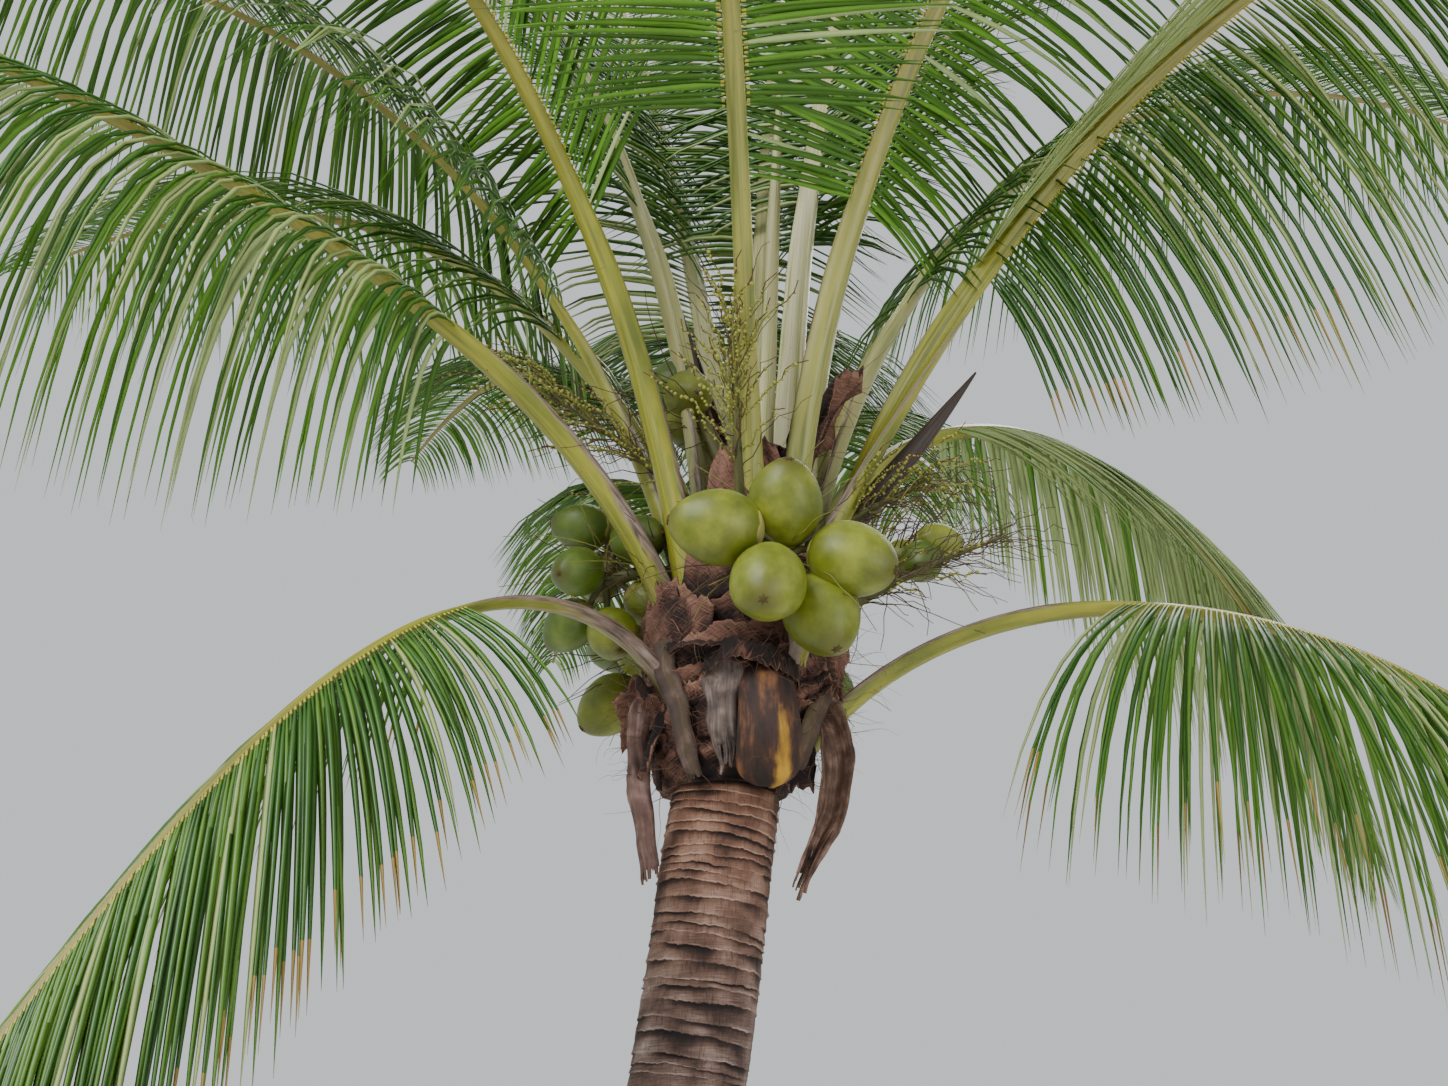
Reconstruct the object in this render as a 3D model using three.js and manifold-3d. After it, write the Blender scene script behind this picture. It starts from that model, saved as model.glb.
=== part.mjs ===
// A young dwarf coconut palm: a leaning ringed trunk, torn leaf sheaths, arching fronds, green nuts,
// flower sprays and their woody spathes. Millimetres, +Z up, origin at the middle of the flat cut under
// the trunk. In the front view +X is to the right and +Y is away from the viewer.
import * as THREE from 'three';
import { mergeVertices } from 'three/addons/utils/BufferGeometryUtils.js';
import Module from 'manifold-3d';

const wasm = await Module();
wasm.setup();

// Driving dimensions.
const gap = 0.3; // clearance between pieces that touch on the real palm
const lean = { slope: 0.212, curve: 0.000017 }; // sideways run of the trunk's axis with height
const trunk = { top: 2700, foot: 138, tip: 130, flare: 82, flareHeight: 230, rings: 13, sides: 20 };
const sheath = {
  heights: [2700, 2760, 2860, 2960, 3060, 3180, 3320, 3550],
  radii: [139, 166, 196, 204, 192, 160, 122, 44],
  sides: 16,
  lump: 0.05,
};
const flap = {
  count: 10, first: 12, height: 2780, climb: 230, length: 165, width: 125, narrowing: 0.45, thickness: 7,
  root: 120, bend: 192, stand: 70, turn: 9,
};
const rib = { width: 62, height: 44, tipWidth: 9, tipHeight: 8, top: 0.35, keel: -0.6 };
const stalk = { flareWidth: 52, flareHeight: 8, flareRun: 240, steps: 4, sunk: 130, shoulder: 0.7 };
const leaflet = {
  steps: 8, width: 0.8, thickness: 10, open: 80, swept: 28, lift: [8, 8],
  longestAt: 0.36, first: 0.45, last: 0.28,
};
const nutShape = { sides: 8, rings: [0.12, 0.45, 0.8], swell: [0.66, 1, 0.68], level: -20, spray: 30 };
const bunchStem = { depth: 70, radius: 20, tipRadius: 15, twig: 10, arch: 35, archAt: 0.55 };
const flowerStem = { radius: 17, tipRadius: 6, parts: 5 };
const tassel = {
  count: 9, radius: 5.5, tipRadius: 3.3, droop: 0.5, ahead: 0.75, outward: 0.82, tipOutward: 0.3,
  lower: 0.5, upper: 0.65, shortening: 0.25,
};
const spathe = { steps: 7, sides: 6, widestAt: 0.35, foot: 0.42, point: 0.25, flatness: 0.6 };
const spear = {
  foot: 3450, height: 1350, width: 62, tipWidth: 9, side: 40, lean: 4, knots: [0, 0.25, 0.6, 0.97],
};
const goldenAngle = 137.5; // the turn from one leaf, nut or branch to the next
const pathSteps = 60;

// One row for each frond. side is its compass angle, 0 to the right and 90 away. rise and fall are the
// slopes of its rib at the foot and the tip, and bow says how early it bends. foot is the height of its
// foot, sunk how far that stands from the trunk's axis, and stalk the bare share of its length. roll turns
// the blade about its rib, and lift is how far the right and left leaflets rise from it. open and swept are
// their angles to the rib at its start and at its end, and leaf their longest length. pairs are its pairs
// of leaflets, and bends the folds in each.
const fronds = [
  { name: 'left_front', side: 210, rise: 81, fall: -12, bow: -1.2, foot: 3060, length: 3650, stalk: 0.285,
    leaf: 850, droop: 0.45, pairs: 22, bends: 1 },
  { name: 'left_arched', side: 200, rise: 78, fall: 12, bow: 3.5, tip: 30, foot: 2970, length: 3500,
    stalk: 0.28, leaf: 980, droop: 1.5, open: 68, lift: [15, 20], pairs: 20, bends: 2 },
  { name: 'left_low', side: 225, rise: 88, fall: -60, bow: 5.4, foot: 2750, length: 3000, stalk: 0.222,
    leaf: 800, droop: 1.1, pairs: 19, bends: 2 },
  { name: 'right_low', side: 352, rise: 60, fall: -74, bow: 1.85, foot: 2720, length: 3400, stalk: 0.242,
    leaf: 920, droop: 1.2, open: 100, swept: 30, pairs: 20, bends: 2 },
  { name: 'right_back', side: 45, rise: 75, fall: -58, bow: 0.8, foot: 3090, length: 3550, stalk: 0.29,
    leaf: 850, droop: 1.1, open: 62, pairs: 20, bends: 2 },
  { name: 'right_high', side: 350, rise: 66, fall: -12, bow: -1.4, foot: 3170, length: 3500, stalk: 0.26,
    leaf: 1000, droop: 0.5, roll: -84, lift: [0, 110], open: 82, swept: 44, pairs: 20, bends: 2 },
  { name: 'right_front', side: 318, rise: 87, fall: -12, bow: -0.8, foot: 3040, length: 3700, stalk: 0.29,
    leaf: 850, droop: 0.4, pairs: 22, bends: 1 },
  { name: 'front_high', side: 266, rise: 70, fall: -20, bow: 0.4, foot: 3310, sunk: 90, length: 3520,
    stalk: 0.275, leaf: 800, droop: 0.45, pairs: 21, bends: 1 },
  { name: 'heart_back', side: 57, rise: 86, fall: 55, bow: -0.5, foot: 3360, length: 3400, stalk: 0.3,
    leaf: 750, droop: 0.4, pairs: 18, bends: 1 },
  { name: 'heart_right', side: 33, rise: 86, fall: 18, bow: -0.5, foot: 3340, length: 3500, stalk: 0.28,
    leaf: 800, droop: 0.4, pairs: 18, bends: 1 },
  { name: 'left_back', side: 176, rise: 77, fall: 0, bow: -0.3, foot: 3120, length: 3500, stalk: 0.25,
    leaf: 800, droop: 0.8, pairs: 18, bends: 1 },
  { name: 'right_inner', side: 24, rise: 80, fall: -10, bow: -0.2, foot: 3200, length: 3500, stalk: 0.25,
    leaf: 800, droop: 0.8, pairs: 18, bends: 1 },
  { name: 'heart_left', side: 108, rise: 72, fall: 52, bow: 0.6, foot: 3340, length: 3500, stalk: 0.2,
    leaf: 750, droop: 0.6, pairs: 18, bends: 1 },
  { name: 'back_right_low', side: 76, rise: 74, fall: -4, bow: 0.9, foot: 3000, length: 3200, stalk: 0.27,
    leaf: 750, droop: 1.2, pairs: 18, bends: 1 },
  { name: 'back_left_low', side: 104, rise: 74, fall: -20, bow: 0.9, foot: 2920, length: 3100, stalk: 0.26,
    leaf: 720, droop: 1.0, pairs: 17, bends: 1 },
  { name: 'back', side: 92, rise: 76, fall: -6, bow: 0.4, foot: 3140, length: 3400, stalk: 0.27,
    leaf: 800, droop: 0.8, pairs: 18, bends: 1 },
  { name: 'back_left', side: 148, rise: 76, fall: -4, bow: 0.5, foot: 3160, length: 3400, stalk: 0.27,
    leaf: 800, droop: 0.8, pairs: 18, bends: 1 },
  { name: 'back_upright', side: 84, rise: 84, fall: 32, bow: -0.4, foot: 3340, length: 3400, stalk: 0.28,
    leaf: 750, droop: 0.5, pairs: 18, bends: 1 },
  { name: 'back_left_upright', side: 152, rise: 84, fall: 34, bow: -0.4, foot: 3360, length: 3400, stalk: 0.28,
    leaf: 750, droop: 0.5, pairs: 18, bends: 1 },
  { name: 'back_low', side: 116, rise: 72, fall: -4, bow: 0.6, foot: 3060, length: 3300, stalk: 0.27,
    leaf: 800, droop: 0.8, pairs: 18, bends: 1 },
];

// The five ripe nuts in front: middle, the compass angle and the slope of the tip.
const frontNuts = [
  { at: [578, -360, 3262], side: 275, rise: 45 },
  { at: [428, -405, 3190], side: 190, rise: 5 },
  { at: [537, -440, 3048], side: 262, rise: -38 },
  { at: [722, -365, 3130], side: 335, rise: -22 },
  { at: [658, -320, 3018], side: 300, rise: -60 },
];

// Bunches of nuts. The stem runs from the sheath to the middle of the bunch. spread is how far the nuts
// stand from that middle to the side, in depth and in height.
const bunches = [
  { name: 'front', side: 280, foot: 3160, middle: [580, -330, 3145], nuts: frontNuts, width: 167, length: 200 },
  { name: 'left', side: 185, foot: 3190, middle: [165, 25, 3215], count: 7, spread: [118, 95, 165],
    width: 118, length: 140 },
  { name: 'right', side: 355, foot: 3140, middle: [900, -70, 3250], count: 3, spread: [58, 50, 45],
    width: 98, length: 112 },
  { name: 'upper_left', side: 150, foot: 3440, middle: [345, 120, 3735], count: 3, spread: [40, 40, 75],
    width: 125, length: 145 },
  { name: 'back_right', side: 82, foot: 3080, middle: [560, 400, 3110], count: 4, spread: [128, 98, 112],
    width: 145, length: 175 },
  { name: 'back_left', side: 140, foot: 3080, middle: [235, 300, 3080], count: 4, spread: [108, 112, 118],
    width: 145, length: 175 },
];

// Flower sprays: a stem from the sheath that carries a brush of thin branches. depth is how far the foot
// stands from the trunk's axis, start the bare share of the stem and tassel the branches' length.
const sprays = [
  { name: 'left', side: 190, depth: 60, foot: 3300, rise: 48, fall: 30, length: 560, start: 0.35,
    tassel: 300 },
  { name: 'centre', side: 264, depth: 130, foot: 3200, rise: 52, fall: 76, length: 560, start: 0.4,
    tassel: 280 },
  { name: 'right', side: 352, depth: 60, foot: 3240, rise: 36, fall: 22, length: 480, start: 0.45,
    tassel: 280 },
  { name: 'lower_right', side: 338, depth: 60, foot: 2990, rise: 32, fall: 14, length: 620, start: 0.5,
    tassel: 220 },
];

// Woody spathes, each a pointed spindle that bends up out of the sheath.
const spathes = [
  { name: 'right', foot: [560, 40, 3180], bend: [800, 60, 3450], tip: [1066, 40, 3775], width: 62 },
  { name: 'upper_left', foot: [470, 70, 3420], bend: [405, 125, 3720], tip: [315, 150, 4068], width: 58 },
  { name: 'back', foot: [520, 90, 3250], bend: [600, 330, 3420], tip: [640, 560, 3700], width: 60 },
];

// Dead stalk bases and torn straps that hang from the sheath, from the top down.
const straps = [
  { name: 'front_strap', points: [[470, -120, 3010], [448, -222, 2950], [440, -236, 2830], [452, -196, 2705]],
    widths: [70, 105, 78, 30], thickness: 9 },
  { name: 'front_base', points: [[525, -100, 2960], [533, -215, 2900], [540, -226, 2790], [536, -165, 2690]],
    widths: [90, 112, 104, 60], thickness: 40 },
  { name: 'left_strap', points: [[340, -60, 2960], [258, -78, 2900], [248, -84, 2700], [286, -92, 2475]],
    widths: [70, 52, 62, 34], thickness: 8, turn: 40 },
  { name: 'right_strap', points: [[600, -70, 2900], [676, -104, 2850], [684, -110, 2660], [604, -96, 2465]],
    widths: [80, 72, 66, 30], thickness: 9, turn: -45 },
];

const colours = {
  bark: 0x86736a,
  fibre: 0x5f4435,
  stalk: 0x8c8a3c,
  blade: 0x5f7d34,
  nut: 0x86942f,
  flower: 0x8a8446,
  spathe: 0x3a2b24,
  strap: 0x7c6a60,
};

// Seeded numbers between 0 and 1, the same on every run.
function seeded(seed) {
  let state = seed;
  return () => {
    state = (state * 1103515245 + 12345) % 2147483648;
    return state / 2147483648;
  };
}

const point = (x, y, z) => new THREE.Vector3(x, y, z);
const degrees = THREE.MathUtils.degToRad;
const up = point(0, 0, 1);

// The middle of the trunk at a height.
function axisAt(z) {
  return point(lean.slope * z - lean.curve * z * z, 0, z);
}

// A point at a compass angle and a distance from the trunk's axis.
function around(side, distance, z) {
  const angle = degrees(side);
  return axisAt(z).add(point(distance * Math.cos(angle), distance * Math.sin(angle), 0));
}

// The unit vector with a compass angle and a slope.
function heading(side, slope) {
  const level = Math.cos(degrees(slope));
  return point(level * Math.cos(degrees(side)), level * Math.sin(degrees(side)), Math.sin(degrees(slope)));
}

// A closed solid from points and triangles, turned outside out if it came inside out.
function solidOf(points, faces) {
  const flat = new Float32Array(points.flatMap((p) => [p.x, p.y, p.z]));
  const make = (triangles) => new wasm.Manifold(new wasm.Mesh({
    numProp: 3, vertProperties: flat, triVerts: new Uint32Array(triangles.flat()),
  }));
  const solid = make(faces);
  return solid.volume() >= 0 ? solid : make(faces.map(([a, b, c]) => [a, c, b]));
}

// The triangles between two outlines whose points start at a and b, where an outline may be one point.
function band(a, countA, b, countB) {
  const faces = [];
  const count = Math.max(countA, countB);
  for (let k = 0; k < count; k++) {
    const next = (k + 1) % count;
    if (countB > 1) faces.push([a + (countA > 1 ? k : 0), b + next, b + k]);
    if (countA > 1) faces.push([a + k, a + next, b + (countB > 1 ? next : 0)]);
  }
  return faces;
}

// A closed solid through a row of outlines with like numbers of points, or single points at its ends.
function loft(outlines) {
  const faces = [];
  let start = 0;
  for (let s = 0; s + 1 < outlines.length; s++) {
    const next = start + outlines[s].length;
    faces.push(...band(start, outlines[s].length, next, outlines[s + 1].length));
    start = next;
  }
  for (let k = 1; k + 1 < outlines[0].length; k++) faces.push([0, k + 1, k]);
  for (let k = 1; k + 1 < outlines.at(-1).length; k++) faces.push([start, start + k, start + k + 1]);
  return solidOf(outlines.flat(), faces);
}

// An outline of corners, each [across, over], round a middle in the plane of two directions.
function outline(middle, across, over, corners) {
  return corners.map(([a, b]) => middle.clone().addScaledVector(across, a).addScaledVector(over, b));
}

function circle(radius, sides) {
  const corner = (k) => (2 * Math.PI * k) / sides;
  return Array.from({ length: sides }, (_, k) => [radius * Math.cos(corner(k)), radius * Math.sin(corner(k))]);
}

// A tapering solid along points, with the outline that shape gives for each share of the way. longer is
// how far it runs on past each end.
function alongPoints(points, across, shape, longer) {
  const last = points.length - 1;
  return loft(points.map((p, k) => {
    const head = points[Math.min(k + 1, last)].clone().sub(points[Math.max(k - 1, 0)]).normalize();
    const side = across.clone().addScaledVector(head, -across.dot(head)).normalize();
    const onward = { 0: -longer, [last]: longer }[k] ?? 0;
    return outline(p.clone().addScaledVector(head, onward), side, side.clone().cross(head), shape(k / last));
  }));
}

// Solids that later pieces keep clear of, each with the slightly larger one that cuts or tests them.
const placed = [];

function boxesMeet(a, b) {
  return [0, 1, 2].every((k) => a.min[k] <= b.max[k] && b.min[k] <= a.max[k]);
}

function place(owner, grown) {
  placed.push({ owner, grown, box: grown.boundingBox() });
}

// The largest body of a solid once all that is placed has been cut from it.
function cutClear(solid, owner) {
  let rest = solid;
  for (const other of placed) {
    if (other.owner !== owner && boxesMeet(other.box, rest.boundingBox())) rest = rest.subtract(other.grown);
  }
  const bodies = rest.decompose();
  return bodies.sort((a, b) => b.volume() - a.volume())[0].simplify(0.02);
}

function meetsPlaced(solid, mayTouch) {
  const box = solid.boundingBox();
  return placed.some((other) => !mayTouch(other.owner) && boxesMeet(other.box, box)
    && !other.grown.intersect(solid).isEmpty());
}

function trunkSolid(grow) {
  const outlines = [];
  for (let k = 0; k <= trunk.rings; k++) {
    const z = trunk.top * (k / trunk.rings) ** 1.35;
    const taper = trunk.foot + (trunk.tip - trunk.foot) * (z / trunk.top);
    const radius = taper + trunk.flare * Math.exp(-z / trunk.flareHeight) + grow;
    outlines.push(outline(axisAt(z), point(1, 0, 0), point(0, 1, 0), circle(radius, trunk.sides)));
  }
  return loft(outlines);
}

// A torn flap of an old leaf sheath that stands off the crown's base.
function sheathFlap(index, grow) {
  const side = flap.first + (360 * index) / flap.count;
  const low = flap.height + (flap.climb * ((index * 3) % flap.count)) / flap.count;
  const root = around(side, flap.root, low - 30);
  const bend = around(side + flap.turn / 2, flap.bend, low + flap.length * 0.4);
  const edge = around(side + flap.turn, flap.bend + flap.stand, low + flap.length);
  const across = point(-Math.sin(degrees(side)), Math.cos(degrees(side)), 0);
  return alongPoints([root, bend, edge], across, (t) => {
    const half = (flap.width / 2) * (1 - flap.narrowing * t) + grow;
    const thick = flap.thickness / 2 + grow;
    return [[-half, -thick], [half, -thick], [half, thick], [-half, thick]];
  }, grow);
}

function sheathSolid(grow) {
  const random = seeded(11);
  const outlines = sheath.heights.map((z, row) => {
    const height = row === 0 ? z + gap - grow : z;
    const corners = circle(1, sheath.sides).map(([x, y]) => {
      const radius = sheath.radii[row] * (1 + sheath.lump * (2 * random() - 1)) + grow;
      return [x * radius, y * radius];
    });
    return outline(axisAt(height), point(1, 0, 0), point(0, 1, 0), corners);
  });
  return loft(outlines);
}

// The rib of a frond as points and directions from its foot to its tip.
function frondPath(row) {
  const path = [{ at: around(row.side, row.sunk ?? stalk.sunk, row.foot), head: heading(row.side, row.rise) }];
  for (let k = 0; k < pathSteps; k++) {
    const u = (k + 0.5) / pathSteps;
    const bent = (1 - Math.exp(-row.bow * u)) / (1 - Math.exp(-row.bow));
    const droop = (row.tip ?? 0) * Math.max(0, 2 * u - 1) ** 2;
    const head = heading(row.side, row.rise + (row.fall - row.rise) * bent - droop);
    path.push({ at: path[k].at.clone().addScaledVector(head, row.length / pathSteps), head });
  }
  return path;
}

// The place, direction, right and upper side of the rib at a share of its length.
function ribAt(row, u) {
  const k = Math.min(Math.floor(u * pathSteps), pathSteps - 1);
  const t = u * pathSteps - k;
  const at = row.path[k].at.clone().lerp(row.path[k + 1].at, t);
  const head = row.path[k].head.clone().lerp(row.path[k + 1].head, t).normalize();
  const turn = degrees((row.roll ?? 0) * THREE.MathUtils.smoothstep(u, 0, row.stalk));
  const right = point(Math.sin(degrees(row.side)), -Math.cos(degrees(row.side)), 0).applyAxisAngle(head, -turn);
  return { at, head, right, over: right.clone().cross(head) };
}

// A stalk is flat on top, round below and wide where it clasps the trunk.
function stalkSolid(row, grow) {
  const outlines = [];
  for (let k = 0; k <= stalk.steps; k++) {
    const share = k / stalk.steps;
    const flare = Math.exp(-(share * row.stalk * row.length) / stalk.flareRun);
    const half = (rib.width + stalk.flareWidth * flare) / 2 + grow;
    const high = rib.height + stalk.flareHeight * flare + 2 * grow;
    const { at, head, right, over } = ribAt(row, share * row.stalk);
    const low = stalk.shoulder * half;
    const corners = [[-half, rib.top], [half, rib.top], [low, -rib.top], [0, rib.keel], [-low, -rib.top]];
    if (k === 0) at.addScaledVector(head, -grow);
    if (k === stalk.steps) at.addScaledVector(head, grow);
    outlines.push(outline(at, right, over, corners.map(([a, b]) => [a, b * high])));
  }
  return loft(outlines);
}

// The share of the rib's length at a station of the blade.
function stationShare(row, station) {
  const start = row.stalk + gap / row.length;
  return start + (1 - start) * (station / row.pairs);
}

function ribOutline(row, station, grow) {
  const share = station / row.pairs;
  const half = THREE.MathUtils.lerp(rib.width, rib.tipWidth, share) / 2 + grow;
  const high = THREE.MathUtils.lerp(rib.height, rib.tipHeight, share) + 2 * grow;
  const { at, right, over } = ribAt(row, stationShare(row, station));
  return outline(at, right, over, [[0, rib.top * high], [half, 0], [0, rib.keel * high], [-half, 0]]);
}

function ribSolid(row, grow) {
  return loft(Array.from({ length: row.pairs + 1 }, (_, station) => ribOutline(row, station, grow)));
}

// How long a leaflet is for its share of the way along the blade.
function leafletLength(row, share) {
  const { longestAt, first, last } = leaflet;
  const growing = first + (1 - first) * Math.sin((Math.PI / 2) * (share / longestAt));
  const falling = 1 - (1 - last) * (Math.max(0, share - longestAt) / (1 - longestAt)) ** 1.5;
  return row.leaf * (share < longestAt ? growing : falling);
}

// The three-cornered outlines of a leaflet out to its tip. hand is 1 on the right and -1 on the left.
function leafletOutlines(row, station, hand, shorten, grow) {
  const share = (station + 0.5) / row.pairs;
  const length = leafletLength(row, share) * shorten;
  const { at, head, right, over } = ribAt(row, stationShare(row, station + 0.5));
  const open = row.open ?? leaflet.open;
  const sweep = degrees(open - (open - (row.swept ?? leaflet.swept)) * share ** 0.8);
  const lift = degrees((row.lift ?? leaflet.lift)[hand > 0 ? 0 : 1]);
  const out = right.clone().multiplyScalar(hand * Math.cos(lift)).addScaledVector(over, Math.sin(lift));
  const start = head.clone().multiplyScalar(Math.cos(sweep)).addScaledVector(out, Math.sin(sweep));
  const spacing = (row.length * (1 - row.stalk)) / row.pairs;
  const place = at.addScaledVector(right, hand * rib.width * 0.4 * (1 - share));
  const wide = head.clone();
  const outlines = [];
  for (let k = 0; k < leaflet.steps; k++) {
    const w = (k + 0.5) / leaflet.steps;
    const way = start.clone().addScaledVector(up, -2 * row.droop * w ** 1.2).normalize();
    place.addScaledVector(way, (length + 4 * grow) / leaflet.steps);
    wide.addScaledVector(way, -wide.dot(way)).normalize();
    const half = (spacing * Math.sin(sweep) * leaflet.width * (1 - (k + 1) / leaflet.steps) ** 0.4) / 2 + grow;
    const over = way.clone().cross(wide).multiplyScalar(hand);
    const folds = row.bends === 2 ? [2, 5] : [3];
    if (folds.includes(k)) {
      const corners = [[0, leaflet.thickness + grow], [-half, -grow], [half, -grow]];
      outlines.push(outline(place, wide, over, corners));
    }
  }
  outlines.push([place.clone()]);
  return outlines;
}

// The three corners on the rib that a leaflet grows from.
function leafletRoot(row, station, hand, grow) {
  const near = ribOutline(row, station, grow);
  const far = ribOutline(row, station + 1, grow);
  return hand > 0 ? [near[0], near[1], far[1]] : [near[0], near[3], far[3]];
}

function leafletSolid(row, station, hand, shorten, grow) {
  return loft([leafletRoot(row, station, hand, 0), ...leafletOutlines(row, station, hand, shorten, grow)]);
}

// How much of each leaflet has room beside what is placed already, as a share of its length.
function roomForLeaflets(row) {
  const room = {};
  for (let station = 0; station < row.pairs; station++) {
    for (const hand of [1, -1]) {
      const own = (owner) => owner.row === row
        && (!owner.hand || (owner.hand === hand && Math.abs(owner.station - station) < 2));
      const share = [1, 0.82, 0.64, 0.46].find(
        (shorten) => !meetsPlaced(leafletSolid(row, station, hand, shorten, 1.2), own));
      if (!share) continue;
      room[`${station} ${hand}`] = share;
      place({ row, station, hand }, leafletSolid(row, station, hand, share, 0));
    }
  }
  return room;
}

// The blade as one closed skin: a four-sided rib, with each leaflet drawn out of a triangle at its side.
function bladeSolid(row, room) {
  const points = [];
  const faces = [];
  const add = (list) => points.push(...list) - list.length;
  for (let station = 0; station <= row.pairs; station++) add(ribOutline(row, station, 0));
  const draw = (root, station, hand) => {
    // The left side mirrors the right one, so its triangles run the other way round.
    const addFace = (a, b, c) => faces.push(hand > 0 ? [a, b, c] : [a, c, b]);
    const shorten = room[`${station} ${hand}`];
    if (!shorten) {
      addFace(...root);
      return;
    }
    let ring = root;
    for (const next of leafletOutlines(row, station, hand, shorten, 0)) {
      const first = add(next);
      const last = next.length === 1;
      for (let k = 0; k < 3; k++) {
        const [a, b] = [ring[k], ring[(k + 1) % 3]];
        addFace(a, b, last ? first : first + (k + 1) % 3);
        if (!last) addFace(a, first + (k + 1) % 3, first + k);
      }
      ring = [first, first + 1, first + 2];
    }
  };
  for (let station = 0; station < row.pairs; station++) {
    const [t, r, b, l] = [0, 1, 2, 3].map((k) => 4 * station + k);
    const [t2, r2, b2, l2] = [0, 1, 2, 3].map((k) => 4 * (station + 1) + k);
    draw([t, r, r2], station, 1);
    draw([t, l, l2], station, -1);
    faces.push([t, r2, t2], [t, t2, l2], [r, b, b2], [r, b2, r2], [b, l, l2], [b, l2, b2]);
  }
  const end = 4 * row.pairs;
  faces.push([0, 2, 1], [0, 3, 2], [end, end + 1, end + 2], [end, end + 2, end + 3]);
  return solidOf(points, faces);
}

// A nut is blunt at its stem and drawn to a soft point at its tip.
function nutSolid(middle, side, rise, width, length) {
  const head = heading(side, rise);
  const across = point(-Math.sin(degrees(side)), Math.cos(degrees(side)), 0);
  const over = across.clone().cross(head);
  const foot = middle.clone().addScaledVector(head, -length / 2);
  const end = middle.clone().addScaledVector(head, length / 2);
  const rings = nutShape.rings.map((t, k) => outline(
    foot.clone().lerp(end, t), across, over, circle((width / 2) * nutShape.swell[k], nutShape.sides)));
  return loft([[foot], ...rings, [end]]);
}

// Nuts set in a spiral round the middle of a bunch, with their tips pointing away from it.
function spiralNuts(bunch) {
  return Array.from({ length: bunch.count }, (_, k) => {
    const high = 1 - (2 * (k + 0.5)) / bunch.count;
    const side = bunch.side + goldenAngle * k;
    const level = Math.sqrt(1 - high * high);
    const away = [level * Math.cos(degrees(side)), level * Math.sin(degrees(side)), high];
    const at = bunch.middle.map((value, axis) => value + away[axis] * bunch.spread[axis]);
    return { at, side, rise: nutShape.spray * high + nutShape.level };
  });
}

function bunchSolid(bunch, grow) {
  const foot = around(bunch.side, bunchStem.depth, bunch.foot);
  const middle = point(...bunch.middle);
  const raised = foot.clone().lerp(middle, bunchStem.archAt).addScaledVector(up, bunchStem.arch);
  const thickness = (t) => THREE.MathUtils.lerp(bunchStem.radius, bunchStem.tipRadius, t) + grow;
  const stem = alongPoints([foot, raised, middle], point(0.3, 0.2, 1), (t) => circle(thickness(t), 6), 0);
  const nuts = (bunch.nuts ?? spiralNuts(bunch)).map((nut) => {
    const at = point(...nut.at);
    const body = nutSolid(at, nut.side, nut.rise, bunch.width + 2 * grow, bunch.length + 2 * grow);
    const twig = alongPoints([middle, at], point(0.2, 0.3, 1), () => circle(bunchStem.twig + 2 * grow, 3), 0);
    return body.add(twig);
  });
  return nuts.reduce((sum, nut) => sum.add(nut), stem);
}

// The points of a spray's stem from the sheath to its tip.
function flowerStemPoints(row) {
  const stem = [around(row.side, row.depth, row.foot)];
  for (let k = 0; k < flowerStem.parts; k++) {
    const slope = THREE.MathUtils.lerp(row.rise, row.fall, k / (flowerStem.parts - 1));
    stem.push(stem[k].clone().addScaledVector(heading(row.side, slope), row.length / flowerStem.parts));
  }
  return stem;
}

// The points of one branch of a spray, which leaves the stem at a share of its length and bends down.
function tasselPoints(stem, across, length, share, turn) {
  const reach = share * flowerStem.parts * 0.98;
  const [before, after] = [stem[Math.floor(reach)], stem[Math.floor(reach) + 1]];
  const root = before.clone().lerp(after, reach % 1);
  const along = after.clone().sub(before).normalize();
  const over = across.clone().cross(along);
  const out = across.clone().multiplyScalar(Math.cos(turn)).addScaledVector(over, Math.sin(turn));
  const outward = THREE.MathUtils.lerp(tassel.outward, tassel.tipOutward, share);
  const way = along.clone().multiplyScalar(tassel.ahead).addScaledVector(out, outward).normalize();
  const middle = root.clone().addScaledVector(way, length * tassel.lower);
  const bent = way.clone().addScaledVector(up, -tassel.droop).normalize();
  const end = middle.clone().addScaledVector(bent, length * (tassel.upper - tassel.shortening * share));
  return { points: [root, middle, end], out };
}

// A spray's stem with thin three-sided branches in a spiral round it.
function spraySolid(row) {
  const stem = flowerStemPoints(row);
  const across = point(-Math.sin(degrees(row.side)), Math.cos(degrees(row.side)), 0);
  const stemRadius = (t) => THREE.MathUtils.lerp(flowerStem.radius, flowerStem.tipRadius, t);
  const stemSolid = (grow) => alongPoints(stem, across, (t) => circle(stemRadius(t) + grow, 5), grow);
  let solid = cutClear(stemSolid(0), row);
  place(row, stemSolid(2 * gap));
  for (let k = 0; k < tassel.count; k++) {
    const share = row.start + (1 - row.start) * (k / (tassel.count - 1));
    const { points, out } = tasselPoints(stem, across, row.tassel, share, degrees(goldenAngle * k));
    const radius = (t) => THREE.MathUtils.lerp(tassel.radius, tassel.tipRadius, t);
    const branch = (grow) => alongPoints(points, out, (t) => circle(radius(t) + grow, 3), grow);
    if (meetsPlaced(branch(2 * gap), (owner) => owner === row)) continue;
    solid = solid.add(branch(0));
    place(row, branch(2 * gap));
  }
  return solid;
}

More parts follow.
